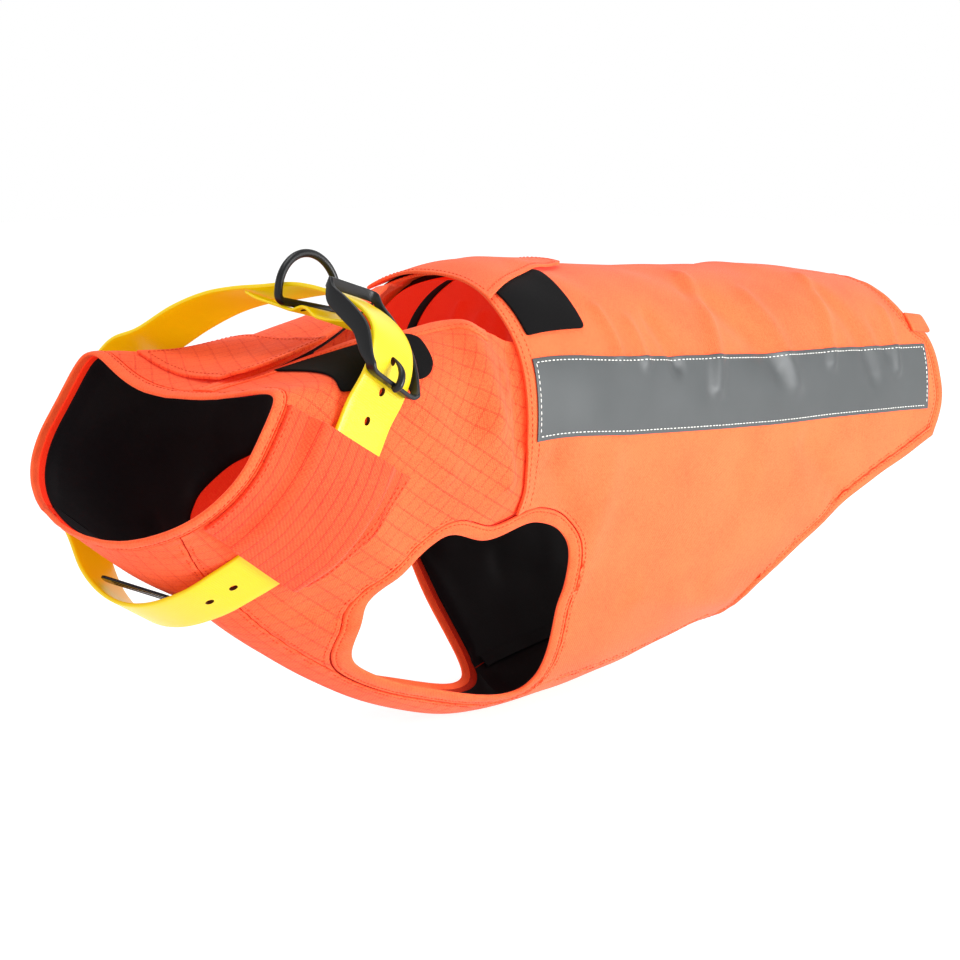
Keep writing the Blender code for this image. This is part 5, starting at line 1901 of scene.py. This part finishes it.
@dataclass
class Metal:
    """D-ring, buckle with its prong, and the slotted plate under the throat."""

    belt: Belt
    ring_at: float = 0.0190
    ring_deep: float = -0.0100
    ring_wire: float = 0.0024
    ring_half: float = 0.0240
    ring_leg: float = 0.006
    ring_corner: float = 0.0040
    ring_turn: float = 9.0
    rails: Rows = (
        # name      along    foot     top
        ("upper",   0.0470, -0.0020,  0.0060),
        ("swell",   0.0620, -0.0085,  0.0020),
        ("middle",  0.0800, -0.0115, -0.0010),
        ("narrow",  0.1010, -0.0085,  0.0010),
        ("lower",   0.1200,  0.0000,  0.0080),
    )
    bars: tuple[float, float] = (0.0020, 0.0085)
    half: float = 0.0225
    wall: float = 0.0026
    round_edge: float = 0.0008
    square: float = 9.0
    ease: float = 0.0016
    prong: Rows = (
        # name      along    out     radius
        ("foot",    0.1222,  0.0080, 0.0020),
        ("bend",    0.1196,  0.0108, 0.0023),
        ("over",    0.1130,  0.0092, 0.0019),
        ("tip",     0.1052,  0.0016, 0.0005),
    )
    slide: tuple[float, float, float] = (0.065, 0.0140, 0.0016)
    slots: tuple[tuple[float, float], ...] = ((0.0026, 0.0031), (0.0083, 0.0031))
    slot_length: float = 0.052
    slide_corner: float = 0.004
    slide_ease: float = 0.0004
    slide_ends: Rows = (
        # name    across   up       beside
        ("far",   0.0680, -0.1572, -0.0170),
        ("near",  0.0100, -0.1602,  0.0120),
    )

    @staticmethod
    def arc(middle: tuple[float, float], radius: float, start: float, end: float,
            steps: int) -> list[tuple[float, float]]:
        """Points on part of a circle, angles in degrees."""
        angles = np.radians(np.linspace(start, end, steps + 1))
        return [(middle[0] + radius * math.cos(a), middle[1] + radius * math.sin(a)) for a in angles]

    @staticmethod
    def wire(line: Array, radii: Array, ring: bool, sides: int = 18) -> Array:
        """Round sections along a line in space.

        Args:
            line: The line.
            radii: Radius at each point.
            ring: Whether it closes.
            sides: Points of a section.

        Returns:
            The sections.
        """
        run = (np.roll(line, -1, axis=0) - np.roll(line, 1, axis=0)) if ring else np.gradient(line, axis=0)
        run = run / np.linalg.norm(run, axis=1)[:, None]
        flat = np.cross(line[len(line) // 3] - line[0], line[2 * len(line) // 3] - line[0])
        side = np.cross(run, flat / np.linalg.norm(flat))
        side /= np.linalg.norm(side, axis=1)[:, None]
        up = np.cross(run, side)
        angles = np.linspace(0, 2 * math.pi, sides, endpoint=False)
        return (line[:, None] + radii[:, None, None] * (side[:, None] * np.cos(angles)[None, :, None]
                                                        + up[:, None] * np.sin(angles)[None, :, None]))

    def build(self) -> None:
        """Make all the metal."""
        self.make_ring()
        self.make_buckle()
        self.make_slide()

    def make_ring(self) -> None:
        """The D-ring, standing up from its bar between the belt's layers."""
        corner = self.ring_corner
        outline = self.arc((0.0, self.ring_leg), self.ring_half, 0.0, 180.0, 44)
        outline += self.arc((-self.ring_half + corner, corner), corner, 180.0, 270.0, 8)
        outline += self.arc((self.ring_half - corner, corner), corner, -90.0, 0.0, 8)
        outline = even_points(np.array([*outline, outline[0]]), 160)[:-1]
        middle, run, width, outward = (rows[0] for rows in self.belt.frames(self.ring_at))
        turn = math.radians(self.ring_turn)
        width = width * math.cos(turn) + run * math.sin(turn)
        line = middle + outward * self.ring_deep + outline[:, :1] * width + outline[:, 1:] * outward
        sections = self.wire(line, np.full(len(line), self.ring_wire), True)
        swept_piece("lead_ring", sections, True, COATED_STEEL, ("d_ring",), RING)

    def make_buckle(self) -> None:
        """The buckle's frame, bent with the belt, and its prong."""
        rails = spline(self.rails, 48)
        top, low = rails[0, 0], rails[-1, 0]
        angles = np.linspace(0.0, 2 * math.pi, 960, endpoint=False)
        power = 2 / self.square
        along = np.sign(np.cos(angles)) * np.abs(np.cos(angles)) ** power * (low - top) / 2
        across = np.sign(np.sin(angles)) * np.abs(np.sin(angles)) ** power * self.half
        outline = np.stack([(top + low) / 2 + along, across], axis=-1)
        outline = even_points(np.vstack([outline, outline[:1]]), 168)[:-1]
        share = smooth((self.half - np.abs(outline[:, 1])) / self.ease)
        foot = np.interp(outline[:, 0], rails[:, 0], rails[:, 1])
        head = np.interp(outline[:, 0], rails[:, 0], rails[:, 2])
        foot, head = foot + (self.bars[0] - foot) * share, head + (self.bars[1] - head) * share
        middle, _run, width, outward = self.belt.frames(outline[:, 0])
        line = middle + width * outline[:, 1:]
        ahead = np.roll(line, -2, axis=0) - np.roll(line, 2, axis=0)
        beside = np.cross(ahead, outward)
        beside /= np.linalg.norm(beside, axis=1)[:, None]
        radius, half = self.round_edge, self.wall / 2
        section = []
        for s, t, start in ((1, 1, 0), (-1, 1, 90), (-1, -1, 180), (1, -1, 270)):
            for angle in np.radians(np.linspace(start, start + 90, 4)):
                section.append((s * (half - radius) + radius * math.cos(angle), t,
                                radius * math.sin(angle) - t * radius))
        section = np.array(section)
        rise = ((foot + head) / 2)[:, None] + ((head - foot) / 2)[:, None] * section[:, 1] + section[:, 2]
        sections = line[:, None] + beside[:, None] * section[:, :1] + outward[:, None] * rise[..., None]
        swept_piece("buckle_frame", sections, True, COATED_STEEL, ("buckle",))
        rows = spline(self.prong, 40)
        middle, _run, _width, outward = self.belt.frames(rows[:, 0])
        sections = self.wire(middle + outward * rows[:, 1:2], rows[:, 2], False, 14)
        swept_piece("buckle_tongue", sections, False, COATED_STEEL, ("buckle_prong",))

    def rounded_box(self, left: float, right: float, low: float, high: float,
                    radius: float) -> list[tuple[float, float]]:
        """Outline of a rectangle with round corners, from its right side upwards."""
        corners = ((right, high, -1, -1), (left, high, 1, -1), (left, low, 1, 1), (right, low, -1, 1))
        return [point for quarter, (x, y, a, b) in enumerate(corners)
                for point in self.arc((x + a * radius, y + b * radius), radius, 90.0 * quarter,
                                      90.0 * quarter + 90.0, 8)]

    def make_slide(self) -> None:
        """The slotted plate that hangs in the belt's loop under the throat."""
        length, width, thickness = self.slide
        start, end = (self.belt.place(*row[1:]) for row in self.slide_ends)
        along = (end - start) / np.linalg.norm(end - start)
        normal = np.cross(along, self.belt.axes[2])
        normal /= np.linalg.norm(normal)
        lean = np.cross(normal, along)
        ease = self.slide_ease
        curve = bpy.data.curves.new("slide_outline", "CURVE")
        curve.dimensions, curve.fill_mode = "2D", "BOTH"
        curve.extrude = thickness / 2 - ease
        curve.bevel_depth, curve.bevel_resolution, curve.offset = ease, 2, -ease
        edge = (length - self.slot_length) / 2
        outlines = [self.rounded_box(0.0, length, 0.0, width, self.slide_corner)]
        outlines += [self.rounded_box(edge, length - edge, high, high + slot, slot * 0.45)
                     for high, slot in self.slots]
        for outline in outlines:
            line = curve.splines.new("POLY")
            line.points.add(len(outline) - 1)
            for knot, (x, y) in zip(line.points, outline):
                knot.co = (x, y, 0.0, 1.0)
            line.use_cyclic_u = True
        draft = in_scene("slide_outline", curve)
        graph = bpy.context.evaluated_depsgraph_get()
        mesh = bpy.data.meshes.new_from_object(draft.evaluated_get(graph))
        bpy.data.objects.remove(draft, do_unlink=True)
        mesh.transform(Matrix.Translation(start) @ Matrix((along, lean, normal)).transposed().to_4x4())
        add_piece("throat_plate", closed_shell(mesh, False, 40.0), POLISHED_STEEL, VEST, ("throat_slide",))


# --- studio ---
@dataclass
class Studio:
    """White floor, soft lights and the camera at the photograph's angle."""

    eye: tuple[float, float, float] = (-0.991, -0.854, 0.093)
    azimuth: float = 48.0
    elevation: float = 10.0
    lens: float = 75.0
    floor_gap: float = 0.002
    paper_light: float = 0.75       # what the lit white paper gives off by itself
    looked_at: tuple[float, float, float] = (0.05, 0.0, -0.08)
    lights: Rows = (
        # name    place                  size  power
        ("key",   (0.75, -1.60, 0.25),   0.9,  16.0),
        ("top",   (-0.20, 0.05, 1.70),   1.0,  17.0),
        ("front", (-1.60, -0.40, 0.90),  0.9,   3.0),
        ("low",   (0.20, -1.10, -0.16),  0.5,  14.0),
    )

    def build(self) -> None:
        """Set the stage."""
        self.make_floor()
        self.make_lights()
        self.make_camera()

    def make_floor(self) -> None:
        """A plain pale floor just under the vest."""
        mesh = bpy.data.meshes.new("floor")
        plane = bmesh.new()
        bmesh.ops.create_grid(plane, x_segments=1, y_segments=1, size=6.0)
        bmesh.ops.translate(plane, verts=plane.verts, vec=(0, 0, SOLID_BOX[0][2] - self.floor_gap))
        plane.to_mesh(mesh)
        plane.free()
        floor = in_scene("floor", mesh)
        paper = bpy.data.materials.new("white_paper")
        paper.use_nodes = True
        feed(paper.node_tree, paper.node_tree.nodes["Principled BSDF"], {
            "Base Color": linear("#BCBCBC"), "Emission Color": linear("#FFFFFF"),
            "Emission Strength": self.paper_light, "Roughness": 0.9, "Specular IOR Level": 0.1})
        mesh.materials.append(paper)

    def light(self, name: str, at: tuple[float, float, float], size: float, power: float) -> None:
        """One soft square light that looks at the vest's middle.

        Args:
            name: Its name.
            at: Its place.
            size: Its side.
            power: Its power in watts.
        """
        lamp = bpy.data.lights.new(name, "AREA")
        lamp.shape, lamp.size, lamp.energy = "SQUARE", size, power
        item = in_scene(name, lamp)
        item.location = at
        item.rotation_euler = (Vector(self.looked_at) - Vector(at)).to_track_quat("-Z", "Y").to_euler()

    def make_lights(self) -> None:
        """Soft lights on the vest's left side, and white walls all round that dim upwards."""
        for row in self.lights:
            self.light(*row)
        world = bpy.data.worlds.new("white_surround")
        world.use_nodes = True
        tree = world.node_tree
        way = add_node(tree, "ShaderNodeTexCoord").outputs["Generated"]
        height = add_node(tree, "ShaderNodeSeparateXYZ", {"Vector": way}).outputs["Z"]
        power = add_node(tree, "ShaderNodeMapRange", {
            "Value": height, "From Min": 0.22, "From Max": 0.75, "To Min": 1.0, "To Max": 0.50})
        feed(tree, tree.nodes["Background"], {"Color": linear("#FFFFFF"),
                                              "Strength": power.outputs["Result"]})
        bpy.context.scene.world = world
        bpy.context.scene.view_settings.view_transform = "Standard"
        bpy.context.scene.view_settings.look = "None"

    def make_camera(self) -> None:
        """The photograph's view."""
        lens = bpy.data.cameras.new("camera")
        lens.lens, lens.sensor_width = self.lens, 36.0
        turn, tip = math.radians(self.azimuth), math.radians(self.elevation)
        ahead = Vector((math.sin(turn) * math.cos(tip), math.cos(turn) * math.cos(tip), -math.sin(tip)))
        item = in_scene("camera", lens)
        item.location = self.eye
        item.rotation_euler = ahead.to_track_quat("-Z", "Y").to_euler()
        bpy.context.scene.camera = item


@dataclass
class DogVest:
    """The whole vest, in the order in which it is sewn."""

    cut: Cut = field(default_factory=Cut)
    edge_stop: float = -0.036       # where a shoulder's free edge goes under the saddle
    edge_width: float = 0.008
    edge_row: float = 0.0062
    front_rows: tuple[float, ...] = (0.0030, 0.0095)
    seam_rows: tuple[float, ...] = (-0.0022, 0.0030)
    behind_hem: tuple[float, float] = (0.0022, 0.0025)      # at the leg holes and the rear

    def sew_edges(self, hems: Hems, panels: Panels, thread: Stitches) -> None:
        """Turned edges of the panels that lie free, and their stitching.

        Args:
            hems: What turns an edge.
            panels: The panels.
            thread: What they are sewn with.
        """
        cut = self.cut
        for name, line, turn in (("near_edge", panels.near[:, 0], 1.0),
                                 ("far_edge", panels.far[:, 0] * mirror("right"), -1.0)):
            free = line[:int(np.argmax(line[:, 0] > self.edge_stop))]
            hems.turned(name, free, turn, self.edge_width)
            thread.row(free + np.array([0.0, turn * self.edge_row]), hems.cover)
        front = panels.saddle[0]
        front = np.vstack([front[::-1] * mirror("right"), front[1:]])
        for behind in self.front_rows:
            thread.row(front + np.array([behind, 0.0]), 0.0)
        hole = moved_aside(cut.hole_edge, -(cut.hem + cut.seam + self.behind_hem[0]), closed=True)
        stop = panels.stop()
        for side in ("left", "right"):
            turn = mirror(side)
            for line in (cut.belly, cut.chest):
                for away in self.seam_rows:
                    thread.row(moved_aside(line, away)[4:-4] * turn, 0.0)
            thread.row(hole[stop + 12:] * turn, 0.0)
            thread.row(hole[:stop - 18] * turn, 0.0)
        thread.row(round_keel(moved_aside(cut.rear_edge, cut.hem + cut.seam + self.behind_hem[1])), 0.0)

    def build(self) -> None:
        """Build and dress every piece."""
        thread = Stitches("orange_stitches", ORANGE_THREAD)
        white = Stitches("white_stitches", WHITE_THREAD)
        belt = Belt()
        panels = Panels(self.cut)
        panels.build()
        Linings(panels).build()
        hems = Hems(panels)
        hems.build(thread)
        self.sew_edges(hems, panels, thread)
        Overlays(belt, hems).build(thread, white)
        belt.build()
        Metal(belt).build()
        thread.finish_piece()
        white.finish_piece()


def main() -> None:
    """Build the vest on its stage."""
    logging.basicConfig(level=logging.INFO, format="%(name)s: %(message)s")
    DogVest().build()
    Studio().build()
    for item in bpy.data.objects:
        if item.type == "MESH" and not item.hide_render:
            LOG.info("%s: %d faces", item.name, len(item.data.polygons))


if __name__ == "__main__":
    main()
